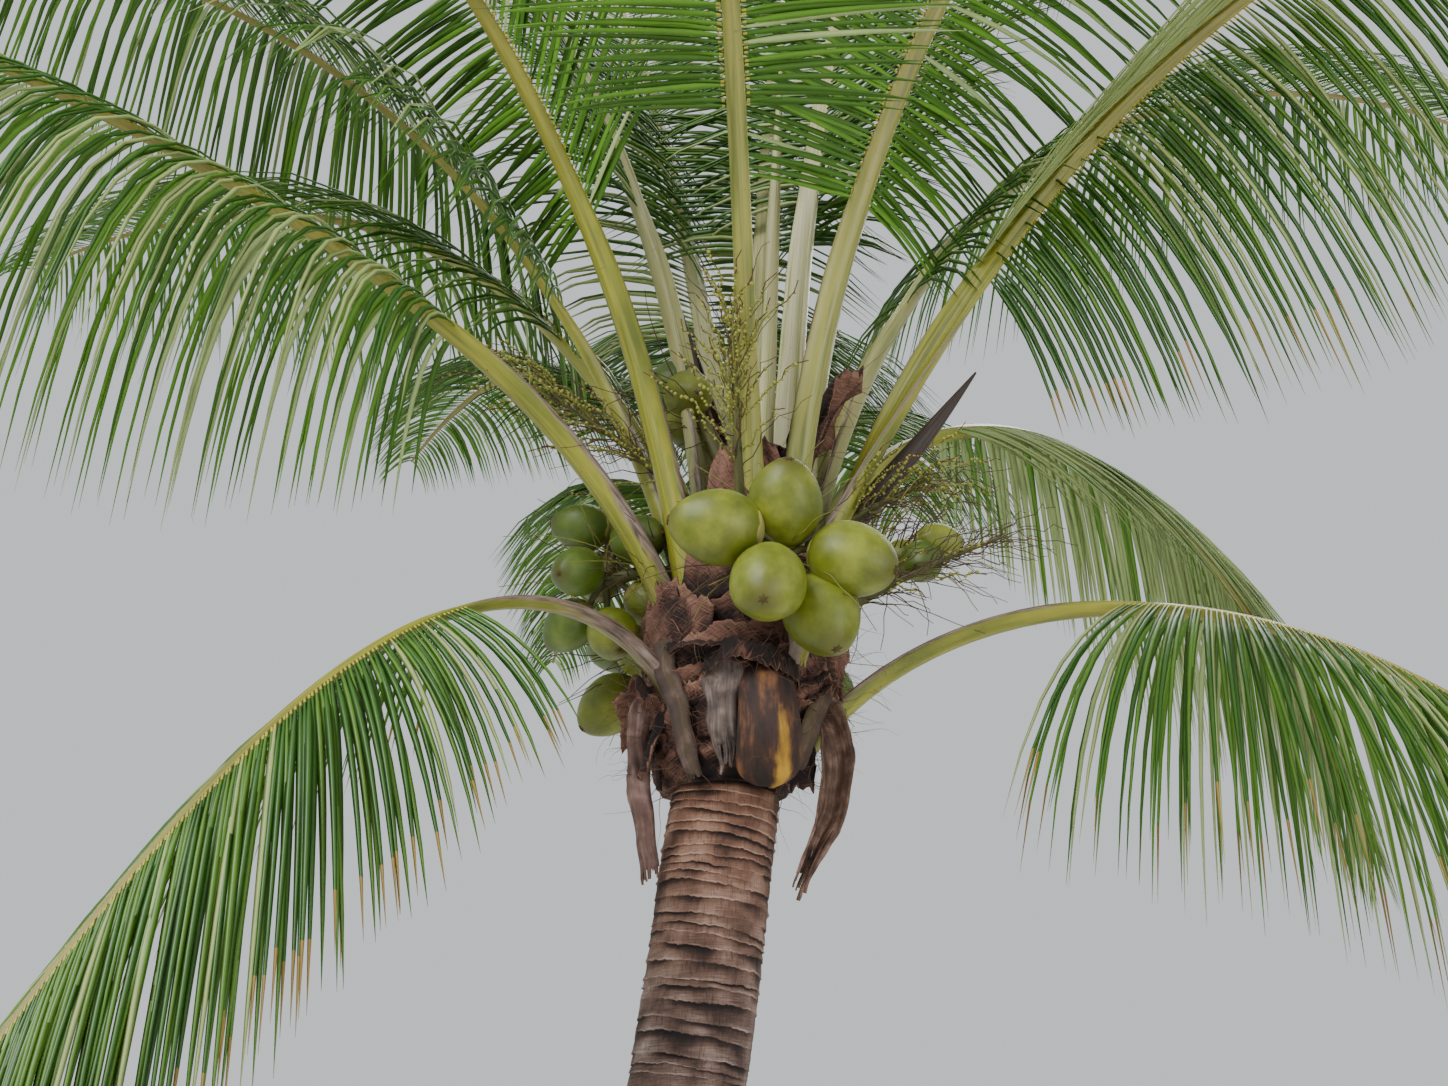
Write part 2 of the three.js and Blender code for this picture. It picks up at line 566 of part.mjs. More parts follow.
function spatheSolid(row, grow) {
  const curve = new THREE.CatmullRomCurve3([point(...row.foot), point(...row.bend), point(...row.tip)]);
  const points = curve.getPoints(spathe.steps);
  const { widestAt } = spathe;
  const swell = (t) => (t < widestAt
    ? spathe.foot + (1 - spathe.foot) * (t / widestAt) ** 2
    : 1 - (1 - spathe.point) * ((t - widestAt) / (1 - widestAt)) ** 2);
  const outlines = points.slice(0, -1).map((p, k) => {
    const head = points[k + 1].clone().sub(p).normalize();
    const side = up.clone().cross(head).normalize();
    const radius = (row.width / 2) * swell(k / spathe.steps);
    const corners = circle(1, spathe.sides).map(
      ([a, b]) => [a * (radius + grow), b * (radius * spathe.flatness + grow)]);
    return outline(p, side, side.clone().cross(head), corners);
  });
  return loft([...outlines, [points.at(-1)]]);
}

// A strap is a flat band that hangs from the sheath. turn twists it away from facing outwards.
function strapSolid(row, grow) {
  const points = row.points.map((p) => point(...p));
  const out = points[1].clone().sub(axisAt(points[1].z)).setZ(0);
  const across = out.clone().cross(up).normalize().applyAxisAngle(up, degrees(row.turn ?? 0));
  return alongPoints(points, across, (t) => {
    const half = row.widths[Math.round(t * (row.widths.length - 1))] / 2 + 3 * grow;
    const thick = row.thickness / 2 + grow;
    return [[-half, -thick], [half, -thick], [half * 0.8, thick], [-half * 0.8, thick]];
  }, grow);
}

// The unopened leaf in the heart of the crown.
function spearSolid(grow) {
  const way = heading(spear.side, 90 - spear.lean);
  const points = spear.knots.map((t) => axisAt(spear.foot).addScaledVector(way, spear.height * t));
  const width = (t) => THREE.MathUtils.lerp(spear.width, spear.tipWidth, t);
  return alongPoints(points, point(1, 0, 0), (t) => circle(width(t) / 2 + grow, 6), grow);
}

const palm = new THREE.Group();

function addMesh(name, solid, colour, roughness) {
  const mesh = solid.getMesh();
  let geometry = new THREE.BufferGeometry();
  geometry.setAttribute('position', new THREE.BufferAttribute(new Float32Array(mesh.vertProperties), 3));
  geometry.setIndex(new THREE.BufferAttribute(new Uint32Array(mesh.triVerts), 1));
  geometry = mergeVertices(geometry, 1e-4);
  const material = new THREE.MeshStandardMaterial({ color: colour, roughness, metalness: 0 });
  const node = new THREE.Mesh(geometry, material);
  node.name = name;
  palm.add(node);
}

addMesh('trunk', trunkSolid(0), colours.bark, 0.9);
place('trunk', trunkSolid(gap));
place('sheath', sheathSolid(gap));

const stalks = new Map();
for (const row of fronds) {
  row.path = frondPath(row);
  stalks.set(row, cutClear(stalkSolid(row, 0), row));
  place({ row }, stalkSolid(row, gap));
}
addMesh('spear_leaf', cutClear(spearSolid(0), 'spear'), colours.stalk, 0.6);
place('spear', spearSolid(gap));
for (const row of fronds) place({ row }, ribSolid(row, gap));

let tornSheath = sheathSolid(0);
for (let k = 0; k < flap.count; k++) {
  if (meetsPlaced(sheathFlap(k, gap), (owner) => owner === 'sheath')) continue;
  tornSheath = tornSheath.add(sheathFlap(k, 0));
  place('sheath', sheathFlap(k, gap));
}
addMesh('leaf_sheath', tornSheath, colours.fibre, 0.95);

for (const bunch of bunches) {
  addMesh(`nuts_${bunch.name}`, cutClear(bunchSolid(bunch, 0), bunch), colours.nut, 0.45);
  place(bunch, bunchSolid(bunch, gap));
}
for (const row of spathes) {
  addMesh(`spathe_${row.name}`, cutClear(spatheSolid(row, 0), row), colours.spathe, 0.8);
  place(row, spatheSolid(row, 2 * gap));
}
for (const row of straps) {
  addMesh(row.name, cutClear(strapSolid(row, 0), row), colours.strap, 0.95);
  place(row, strapSolid(row, gap));
}
for (const row of sprays) addMesh(`flowers_${row.name}`, spraySolid(row), colours.flower, 0.7);

for (const row of fronds) {
  const blade = bladeSolid(row, roomForLeaflets(row));
  addMesh(`frond_${row.name}_stalk`, stalks.get(row), colours.stalk, 0.5);
  addMesh(`frond_${row.name}_blade`, blade, colours.blade, 0.6);
}

export default palm;
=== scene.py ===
import math
import random
import bpy
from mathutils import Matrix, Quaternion, Vector, noise


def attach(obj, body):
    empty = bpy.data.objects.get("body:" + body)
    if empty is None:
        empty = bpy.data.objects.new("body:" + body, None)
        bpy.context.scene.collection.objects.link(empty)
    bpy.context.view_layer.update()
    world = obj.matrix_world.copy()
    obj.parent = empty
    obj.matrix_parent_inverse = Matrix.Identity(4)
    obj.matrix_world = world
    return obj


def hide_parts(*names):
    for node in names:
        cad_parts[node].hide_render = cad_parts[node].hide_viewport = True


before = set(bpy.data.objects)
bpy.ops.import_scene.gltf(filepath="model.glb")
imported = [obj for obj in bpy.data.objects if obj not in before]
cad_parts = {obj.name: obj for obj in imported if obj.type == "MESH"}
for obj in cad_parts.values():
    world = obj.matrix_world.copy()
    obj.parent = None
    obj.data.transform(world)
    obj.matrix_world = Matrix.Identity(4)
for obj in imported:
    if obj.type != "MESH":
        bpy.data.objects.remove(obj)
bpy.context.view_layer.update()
print("frame loaded")

# A young dwarf coconut palm. Metres, +Z up, the origin in the middle of the cut at ground level.
noise.seed_set(3)  # vector noise has the same offsets each run
up = Vector((0, 0, 1))
goldenAngle = 137.5


def hexColour(code):
    # sRGB hex to the linear colour that the shaders take
    parts = [int(code[k:k + 2], 16) / 255 for k in (1, 3, 5)]
    return [c / 12.92 if c <= 0.04045 else ((c + 0.055) / 1.055) ** 2.4 for c in parts] + [1]


def feed(socket, value):
    # gives an input a number, a hex colour or a link; a node alone stands for its first live output
    if isinstance(value, str) and value.startswith("#"):
        value = hexColour(value)
    if isinstance(value, bpy.types.Node):
        value = next(output for output in value.outputs if output.enabled)
    if isinstance(value, bpy.types.NodeSocket):
        socket.id_data.links.new(value, socket)
    else:
        socket.default_value = value


def nodeAdder(tree):
    # the helper that adds a node: its kind, the values of its live inputs in order, its settings, and other
    # inputs by name, with a capital and _ for a space; stops are a ramp's places and colours
    families = ("Shader",) if tree.type == "SHADER" else ("Geometry", "Shader", "Function", "")

    def add(kind, *values, stops=(), **named):
        kinds = [family + "Node" + kind for family in families]
        node = tree.nodes.new(next(name for name in kinds if hasattr(bpy.types, name)))
        for name in [name for name in named if name[0].islower()]:
            setattr(node, name, named.pop(name))
        for socket, value in zip([socket for socket in node.inputs if socket.enabled], values):
            feed(socket, value)
        for name, value in named.items():
            feed(node.inputs[name.replace("_", " ")], value)
        for _ in stops[2:]:
            node.color_ramp.elements.new(1)
        for element, (place, colour) in zip(node.color_ramp.elements if stops else (), stops):
            element.position = place
            element.color = hexColour(colour)
        return node

    return add


def newMaterial(name, roughness):
    # a Principled surface: the helper that adds its nodes, and a function that links its colour and relief
    material = bpy.data.materials.new(name)
    material.use_nodes = True
    shader = material.node_tree.nodes["Principled BSDF"]
    feed(shader.inputs["Roughness"], roughness)

    def done(colour, bump=None):
        feed(shader.inputs["Base Color"], colour)
        if bump:
            feed(shader.inputs["Normal"], bump)
        return material

    return nodeAdder(material.node_tree), done


def driftingMaterial(name, colour, roughness, scale=17, detail=4, low=0.75, high=1.3):
    # a plain skin whose tone drifts over about 1 / scale of a metre
    add, done = newMaterial(name, roughness)
    patch = add("TexNoise", add("TexCoord").outputs["Object"], Scale=scale, Detail=detail)
    tone = add("MapRange", patch, 0.3, 0.7, low, high)
    return done(add("HueSaturation", Value=tone, Color=colour))


def lerp(a, b, t):
    return a + (b - a) * t


def clamp(x, low=0, high=1):
    return min(max(x, low), high)


def smoothStep(low, high, x):
    t = clamp((x - low) / (high - low))
    return t * t * (3 - 2 * t)


def rough(x, y, z):
    return noise.noise(Vector((x, y, z)))


def ridged(x, y, z):
    # crests of 1 along wandering lines, with hollows between them
    return 1 - 2.4 * abs(rough(x, y, z))


def heading(side, slope):
    # the direction at a compass angle and a slope, in degrees
    a, s = math.radians(side), math.radians(slope)
    return Vector((math.cos(a) * math.cos(s), math.sin(a) * math.cos(s), math.sin(s)))


def addObject(name, data):
    made = bpy.data.objects.new(name, data)
    bpy.context.collection.objects.link(made)
    return made


def makeObject(name, points, faces=(), materials=(), edges=(), smooth=True):
    mesh = bpy.data.meshes.new(name)
    mesh.from_pydata([tuple(p) for p in points], edges, faces)
    for material in materials:
        mesh.materials.append(material)
    mesh.polygons.foreach_set("use_smooth", [smooth] * len(faces))
    return addObject(name, mesh)


def addValues(piece, name, values, kind="FLOAT", domain="POINT"):
    # a number or a vector for every point or face, for the materials and the node trees to read
    vectors = hasattr(values[0], "__len__")
    layer = piece.data.attributes.new(name, "FLOAT_VECTOR" if vectors else kind, domain)
    if vectors:
        layer.data.foreach_set("vector", [c for value in values for c in value])
    else:
        layer.data.foreach_set("value", values)


def ringFaces(rows, columns, first=0):
    # quads between closed rings, with one face as a cap at each end
    faces = []
    for i in range(rows - 1):
        for j in range(columns):
            a, b = first + i * columns + j, first + i * columns + (j + 1) % columns
            faces.append((a, b, b + columns, a + columns))
    faces.append(tuple(first + j for j in reversed(range(columns))))
    faces.append(tuple(first + (rows - 1) * columns + j for j in range(columns)))
    return faces


def seatPiece(piece, slot, *nodes):
    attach(piece, "root")
    if nodes:
        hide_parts(*nodes)


def newTree(name, inputs):
    # a geometry tree: itself, the helper that adds its nodes, and its inputs
    tree = bpy.data.node_groups.new(name, "GeometryNodeTree")
    for way in ("INPUT", "OUTPUT"):
        tree.interface.new_socket("Geometry", in_out=way, socket_type="NodeSocketGeometry")
    for label, value in inputs.items():
        kind = "NodeSocketInt" if isinstance(value, int) else "NodeSocketFloat"
        tree.interface.new_socket(label, in_out="INPUT", socket_type=kind).default_value = value
    add = nodeAdder(tree)
    return tree, add, add("GroupInput").outputs


def grow(piece, tree, values):
    # puts a piece through a node tree and keeps the result as its plain mesh
    modifier = piece.modifiers.new("grow", "NODES")
    modifier.node_group = tree
    for item in tree.interface.items_tree:
        if item.item_type == "SOCKET" and item.in_out == "INPUT" and item.name in values:
            modifier[item.identifier] = values[item.name]
    evaluated = piece.evaluated_get(bpy.context.evaluated_depsgraph_get())
    made = bpy.data.meshes.new_from_object(evaluated)
    piece.modifiers.remove(modifier)
    piece.data = made
    kept = ("position", "material_index", "polar")
    for layer in [a.name for a in made.attributes if a.data_type in ("FLOAT", "INT", "FLOAT_VECTOR")]:
        if layer not in kept and not layer.startswith("."):
            made.attributes.remove(made.attributes[layer])
    for k in reversed(range(len(made.materials))):
        if made.materials[k] is None:
            made.materials.pop(index=k)


def strung(add, points, stores, step, number):
    # stores values on points, strings each group of them along its steps and makes every group a curve
    for name, value, kind in stores:
        points = add("StoreNamedAttribute", points, Name=name, Value=value, data_type=kind)
    run = add("AccumulateField", step, number, data_type="FLOAT_VECTOR")
    moved = add("SetPosition", points, Offset=run.outputs["Leading"])
    return add("PointsToCurves", moved, number, add("InputNamedAttribute", "knot", data_type="INT"))


# Camera: 50 mm lens, a little below the crown, looking up at it.
def addCamera():
    lens = bpy.data.cameras.new("camera")
    lens.lens = 50
    camera = addObject("camera", lens)
    camera.location = (0.444, -4.45, 1.6)
    camera.rotation_euler = (math.radians(111), 0, 0)
    bpy.context.scene.camera = camera


studio = {
    "lights": [("key", (-4.5, -5.5, 8.5), 5, 950), ("fill", (5.5, -6.0, 3.0), 5, 260),
               ("back", (2.5, 6.0, 9.5), 6, 900)],
    "aim": (0.5, 0, 3.2), "sky": "#dfe4e6", "strength": 0.95, "floor": "#d8d6d0", "floorSize": 40,
}


def addStudio():
    for name, at, size, power in studio["lights"]:
        lamp = bpy.data.lights.new(name, "AREA")
        lamp.size = size
        lamp.energy = power
        holder = addObject(name, lamp)
        holder.location = at
        holder.rotation_euler = (Vector(studio["aim"]) - Vector(at)).to_track_quat("-Z", "Y").to_euler()
    world = bpy.data.worlds.new("sky")
    world.use_nodes = True
    feed(world.node_tree.nodes["Background"].inputs["Color"], studio["sky"])
    feed(world.node_tree.nodes["Background"].inputs["Strength"], studio["strength"])
    bpy.context.scene.world = world
    half = studio["floorSize"] / 2
    corners = [(-half, -half, 0), (half, -half, 0), (half, half, 0), (-half, half, 0)]
    _, done = newMaterial("painted floor", 0.8)
    makeObject("floor", corners, [(0, 1, 2, 3)], [done(studio["floor"])], smooth=False)


addCamera()
addStudio()
print("camera, lights and floor")


# Trunk bark: dry and ringed with leaf scars, whose lips catch the light over dark recesses.
trunk = {
    "top": 2.7, "foot": 0.138, "tip": 0.124, "flare": 0.082, "flareHeight": 0.23,
    "slope": 0.212, "curve": 0.017, "columns": 144, "lowSpacing": 0.052, "highSpacing": 0.025,
    "shares": (0, 0.05, 0.15, 0.35, 0.6, 0.82, 0.95), "lip": 0.0038, "recess": 0.0028,
    "tilt": 0.01, "ragged": 0.003, "fibre": 0.0011, "fleck": 0.0012, "lump": 0.004, "level": 0.05,
    "lastGap": 0.012, "seed": 11,
}


def axisAt(z):
    # the middle of the leaning trunk at a height
    return Vector((trunk["slope"] * z - trunk["curve"] * z * z, 0, z))


def around(side, distance, z):
    return axisAt(z) + heading(side, 0) * distance


def barkMaterial():
    add, done = newMaterial("coconut bark, weathered", 0.9)
    place = add("TexCoord").outputs["Object"]
    depth = add("Attribute", attribute_name="depth").outputs["Fac"]
    # level fibres 3 mm high that run round the trunk, and upright cracks 3 mm wide and 20 mm long
    fibre = add("TexNoise", add("Mapping", place, Scale=(22, 22, 330)), Scale=1, Detail=6, Roughness=0.7)
    crack = add("TexNoise", add("Mapping", place, Scale=(300, 300, 45)), Scale=1, Detail=3)
    # blotches of about 60 mm
    blotch = add("TexNoise", place, Scale=16, Detail=5)
    dry = add("ValToRGB", fibre, stops=[(0.3, "#4f3f3a"), (0.48, "#917a72"), (0.68, "#c3aea4")])
    worn = add("ValToRGB", blotch, stops=[(0.35, "#5f4f4b"), (0.5, "#8d7a74"), (0.66, "#ad9a93")])
    face = add("Mix", 0.38, dry, worn, data_type="RGBA")
    # towards the crown the younger bark is redder
    young = add("MapRange", add("SeparateXYZ", place).outputs["Z"], 2.15, 2.7, 0, 0.62)
    warmer = add("Mix", young, face, "#b98766", data_type="RGBA")
    split = add("MapRange", crack, 0.32, 0.46, 0.55, 1.0)
    split = add("CombineColor", split, split, split)
    cracked = add("Mix", 1.0, warmer, split, data_type="RGBA", blend_type="MULTIPLY")
    # painted shade: the depth ramp darkens the bark in the recesses under the scars' lips
    shade = add("ValToRGB", depth, stops=[(0.0, "#271e1b"), (0.25, "#6b5b54"), (0.5, "#b3a59d"),
                                          (0.85, "#ffffff")])
    colour = add("Mix", 1.0, cracked, shade, data_type="RGBA", blend_type="MULTIPLY")
    # painted highlight: the thin lips of the scars, highest in depth, are lightened as if catching the light
    edge = add("MapRange", depth, 0.78, 1.0, 0.0, 0.55)
    colour = add("Mix", edge, colour, "#c9b2a6", data_type="RGBA")
    return done(colour, add("Bump", Strength=0.8, Distance=0.003, Height=fibre))


def ringHeights():
    rng = random.Random(trunk["seed"])
    heights = [0]
    while heights[-1] < trunk["top"] - trunk["lastGap"]:
        spacing = lerp(trunk["lowSpacing"], trunk["highSpacing"], heights[-1] / trunk["top"])
        heights.append(heights[-1] + spacing * rng.uniform(0.6, 1.4))
    heights[-1] = trunk["top"]
    return heights


def ringLevel(height, k, x, y):
    # the height of a leaf scar's edge, which runs round the trunk at its own tilt; the two cuts are level
    top, level = trunk["top"], trunk["level"]
    fade = smoothStep(0, level, height) * (1 - smoothStep(top - level, top, height))
    tilt = rough(x * 0.8, y * 0.8, k * 0.8) + 0.35 * rough(x * 2.6, y * 2.6, k * 1.7)
    ragged = rough(x * 13, y * 13, k * 3.1) + 0.6 * rough(x * 34, y * 34, k * 5.3)
    return height + fade * (trunk["tilt"] * tilt + trunk["ragged"] * ragged)


def trunkPiece():
    columns, heights, shares = trunk["columns"], ringHeights(), trunk["shares"]
    circle = [heading(360 * j / columns, 0) for j in range(columns)]
    levels = [[ringLevel(height, k, x, y) for x, y, _ in circle] for k, height in enumerate(heights)]
    rings = [(k, share) for k in range(len(heights) - 1) for share in shares] + [(len(heights) - 2, 1)]
    points, depths = [], []
    for k, share in rings:
        for j, (x, y, _) in enumerate(circle):
            z = lerp(levels[k][j], levels[k + 1][j], share)
            slope = trunk["slope"] - 2 * trunk["curve"] * z
            across = Vector((1, 0, -slope * smoothStep(0, 0.35, z))).normalized()
            radius = lerp(trunk["foot"], trunk["tip"], z / trunk["top"])
            radius += trunk["flare"] * math.exp(-z / trunk["flareHeight"])
            # every scar stands out along part of the trunk and lies nearly flat along the rest
            proud = 0.55 + 1.5 * rough(x * 1.1 + k * 3.1, y * 1.1, k * 2.7)
            proud = clamp(proud + 0.5 * rough(x * 5, y * 5, k * 4.1), 0.08, 1.3)
            deep = clamp(0.6 + 1.6 * rough(x * 1.3, y * 1.3 + k * 5.3, k * 1.9), 0.05, 1.3)
            lip = trunk["lip"] * proud * math.exp(-share * 8)
            hollow = trunk["recess"] * deep * smoothStep(0.4, 1.0, share)
            fibre = trunk["fibre"] * rough(x * 3, y * 3, z * 85)
            fibre += trunk["fleck"] * rough(x * 17, y * 17, z * 40)
            lump = trunk["lump"] * rough(x * 1.7, y * 1.7, z * 5)
            reach = radius + smoothStep(0, 0.03, z) * (lip - hollow + fibre + lump)
            points.append(axisAt(z) + (across * x + Vector((0, 1, 0)) * y) * reach)
            # depth holds painted light and shade: high on each scar's proud lip, low in the recess under the
            # next lip, higher where fibres stand out, with a random drift
            tone = 0.52 + 0.42 * proud * math.exp(-share * 16)
            tone -= 0.52 * deep * smoothStep(0.25, 1.0, share) ** 1.5
            depths.append(clamp(tone + 0.35 * rough(x * 2.2, y * 2.2, z * 14) + fibre * 70))
    for j in range(columns):
        points[j].z = 0
    piece = makeObject("ringed_trunk", points, ringFaces(len(rings), columns), [barkMaterial()])
    addValues(piece, "depth", depths)
    seatPiece(piece, "bark", "trunk")


trunkPiece()
print("trunk")


# Fronds. side is the compass angle, rise and fall the slopes of the rib at its foot and tip, bow how early
# it bends, foot the height of its foot, stalk the bare share and leaf the longest leaflet. open and swept
# are the angles between leaflet and rib at the blade's foot and tip, and fan how soon one turns into the
# other. lift and hang are how far the leaflets of each hand stand up and sag, and count is their pairs. pale
# is the share of leaflets in the pale colours, which paint a sky sheen on upper faces and the glow of light
# through undersides, young how whitish the stalk is, worn how dried it is and slim how thin.
frondKeys = ("name", "side", "rise", "fall", "bow", "foot", "length", "stalk", "leaf", "hang")
frondDefaults = {"sunk": 0.13, "tip": 0, "open": 82, "swept": 30, "fan": 1.4, "lift": (8, 8), "roll": 0,
                 "bend": 1.2, "pale": 0.08, "young": 0.0, "dry": 0.3, "width": 0.0185, "steps": 6,
                 "worn": 0.2, "slim": 1.0, "first": 0.45, "count": 128}
frondRows = [
    ("left_front", 210, 81, -12, -1.2, 3.06, 3.65, 0.285, 0.98, (0.16, 0.2),
     {"open": (88, 62), "swept": (40, 26), "count": 186, "width": 0.0155, "pale": 0.03, "steps": 8}),
    ("left_arched", 200, 78, 12, 3.5, 2.97, 3.5, 0.28, 1.08, (2.0, 2.2),
     {"tip": 30, "open": (78, 66), "swept": (34, 30), "lift": (6, -22), "bend": 1.5, "count": 156,
      "width": 0.0175, "pale": 0.4, "steps": 9, "worn": 0.6}),
    ("left_low", 225, 88, -60, 5.4, 2.75, 3.0, 0.268, 0.76, (0.9, 0.75),
     {"open": 106, "swept": (17, 15), "fan": 6, "lift": (-16, -40), "bend": 1.3, "count": 190,
      "width": 0.0175, "pale": 0.1, "dry": 1.2, "steps": 9, "worn": 1.0, "slim": 0.62, "first": 0.5}),
    ("right_low", 352, 60, -74, 1.85, 2.72, 3.4, 0.268, 1.0, (0.8, 1.5),
     {"open": 125, "swept": (18, 24), "fan": 5, "lift": (-38, -4), "bend": 1.4, "count": 220,
      "width": 0.0148, "pale": 0.2, "dry": 0.9, "steps": 8, "worn": 0.5, "first": 0.72, "slim": 0.8}),
    ("right_back", 45, 75, -58, 0.8, 3.09, 3.55, 0.29, 0.85, (0.5, 0.9),
     {"open": (46, 40), "swept": (20, 16), "fan": 2.5, "lift": (-44, -18), "count": 190, "width": 0.017,
      "pale": 0.8, "steps": 8}),
    ("right_high", 350, 66, -12, -1.4, 3.17, 3.5, 0.26, 1.0, (0.9, 0.2),
     {"open": (112, 40), "swept": (52, 12), "roll": -84, "lift": (0, 110), "count": 180, "width": 0.016,
      "pale": 0.12, "dry": 0.9, "steps": 8}),
    ("right_front", 318, 87, -12, -0.8, 3.04, 3.7, 0.29, 0.92, (0.1, 0.3),
     {"open": (98, 92), "swept": (44, 40), "count": 190, "width": 0.0155, "pale": 0.03, "steps": 8,
      "young": 0.15}),
    ("front_high", 266, 70, -20, 0.4, 3.31, 3.52, 0.275, 0.8, 0.1,
     {"open": 92, "swept": 40, "sunk": 0.09, "count": 180, "width": 0.0155, "pale": 0.03, "steps": 8,
      "young": 0.12, "slim": 0.7}),
    ("heart_back", 57, 86, 55, -0.5, 3.36, 3.4, 0.3, 0.75, 0.4, {"young": 0.9, "pale": 0.2}),
    ("heart_right", 33, 86, 18, -0.5, 3.34, 3.5, 0.28, 0.8, 0.4, {"young": 0.7, "pale": 0.2}),
    ("left_back", 176, 77, 0, -0.3, 3.12, 3.5, 0.25, 0.9, 0.9, {"count": 160, "slim": 0.75}),
    ("right_inner", 24, 80, -10, -0.2, 3.2, 3.5, 0.25, 0.8, 0.8, {"young": 0.4}),
    ("heart_left", 108, 72, 52, 0.6, 3.34, 3.5, 0.2, 0.75, 0.6, {"young": 0.8, "pale": 0.6}),
    ("back_right_low", 76, 74, -4, 0.9, 3.0, 3.2, 0.27, 0.75, 1.2, {}),
    ("back_left_low", 104, 74, -20, 0.9, 2.92, 3.1, 0.26, 0.5, 1.0, {"dry": 0.5}),
    ("back", 92, 76, -6, 0.4, 3.14, 3.4, 0.27, 0.8, 0.8, {}),
    ("back_left", 148, 76, -4, 0.5, 3.16, 3.4, 0.27, 0.8, 0.8, {}),
    ("back_upright", 84, 84, 32, -0.4, 3.34, 3.4, 0.28, 0.75, 0.5, {"young": 0.5}),
    ("back_left_upright", 152, 84, 34, -0.4, 3.36, 3.4, 0.28, 0.75, 0.5, {"young": 0.5}),
    ("back_low", 116, 72, -4, 0.6, 3.06, 3.3, 0.27, 0.6, 0.8, {}),
]
rib = {"width": 0.062, "height": 0.044, "tipWidth": 0.009, "tipHeight": 0.008, "pathSteps": 60}
stalk = {"flareWidth": 0.052, "flareHeight": 0.008, "flareRun": 0.24, "stations": 110}
leaflet = {"longestAt": 0.36, "last": 0.28, "sweepJitter": 3.0, "liftJitter": 5.0,
           "lengthJitter": 0.06, "droopJitter": 0.15}


def frondPath(row):
    path = [(around(row["side"], row["sunk"], row["foot"]), heading(row["side"], row["rise"]))]
    steps = rib["pathSteps"]
    for k in range(steps):
        u = (k + 0.5) / steps
        bent = (1 - math.exp(-row["bow"] * u)) / (1 - math.exp(-row["bow"]))
        dip = row["tip"] * max(0, 2 * u - 1) ** 2
        head = heading(row["side"], row["rise"] + (row["fall"] - row["rise"]) * bent - dip)
        path.append((path[-1][0] + head * (row["length"] / steps), head))
    return path


def ribAt(row, u):
    # place, direction, right and upper side of the rib at a share of its length
    steps = rib["pathSteps"]
    k = min(int(u * steps), steps - 1)
    (at, head), (nextAt, nextHead) = row["path"][k:k + 2]
    head = head.lerp(nextHead, u * steps - k).normalized()
    turn = math.radians(row["roll"]) * smoothStep(0, row["stalk"], u)
    right = Quaternion(head, -turn) @ heading(row["side"] - 90, 0)
    return at.lerp(nextAt, u * steps - k), head, right, right.cross(head)


fronds = [frondDefaults | dict(zip(frondKeys, row)) | row[-1] for row in frondRows]
for row in fronds:
    for key in ("open", "swept", "hang"):
        if not isinstance(row[key], tuple):
            row[key] = (row[key], row[key])
    row["path"] = frondPath(row)


# Leaf stalk skin: waxy and fibrous, yellow-green with olive streaks, dried to mauve-brown along its edges.
def stalkMaterial():
    add, done = newMaterial("coconut leaf stalk, waxy skin", 0.42)
    skin = add("Attribute", attribute_name="skin").outputs["Vector"]
    margin, young = (add("Attribute", attribute_name=name).outputs["Fac"] for name in ("margin", "young"))
    # streaks about 6 mm wide and 300 mm long, and fine ones within them
    streak = add("TexNoise", add("Mapping", skin, Scale=(160, 3.2, 1)), Scale=1, Detail=4)
    fine = add("TexNoise", add("Mapping", skin, Scale=(700, 14, 1)), Scale=1, Detail=3)
    speck = add("TexNoise", skin, Scale=95, Detail=3)
    green = add("ValToRGB", streak, stops=[(0.28, "#4b5516"), (0.45, "#777a22"), (0.6, "#969330"),
                                           (0.75, "#6b7824")])
    whitish = add("ValToRGB", streak, stops=[(0.3, "#9c9f55"), (0.5, "#cfcda0"), (0.7, "#b9a58f")])
    colour = add("Mix", young, green, whitish, data_type="RGBA")
    scar = add("MapRange", speck, 0.68, 0.76, 0.0, 0.55)
    colour = add("Mix", scar, colour, "#6b4c2c", data_type="RGBA")
    dried = add("ValToRGB", fine, stops=[(0.3, "#3d2f28"), (0.5, "#776357"), (0.72, "#9c897a")])
    ragged = add("Math", streak, 0.9, margin, operation="MULTIPLY_ADD")
    dryness = add("MapRange", ragged, 0.85, 1.02, 0.0, 1.0)
    colour = add("Mix", dryness, colour, dried, data_type="RGBA")
    # past about a metre the rib is drier and tan
    far = add("MapRange", add("SeparateXYZ", skin).outputs["Y"], 0.9, 2.4, 0.0, 0.6)
    colour = add("Mix", far, colour, "#7b6630", data_type="RGBA")
    return done(colour, add("Bump", Strength=0.35, Distance=0.0015, Height=fine))


# Half outlines, from the middle of the top to the middle of the bottom, as shares of half width and height.
stalkHalf = [(0, 0.1), (0.3, 0.12), (0.62, 0.22), (0.86, 0.36), (0.97, 0.36), (1.0, 0.22), (0.96, -0.02),
             (0.82, -0.27), (0.55, -0.48), (0.28, -0.57), (0, -0.6)]
ribHalf = [(0, 0.36), (0.12, 0.34), (0.3, 0.22), (0.6, 0.12), (0.85, 0.05), (1.0, -0.02), (0.96, -0.14),
           (0.8, -0.32), (0.52, -0.48), (0.26, -0.57), (0, -0.6)]


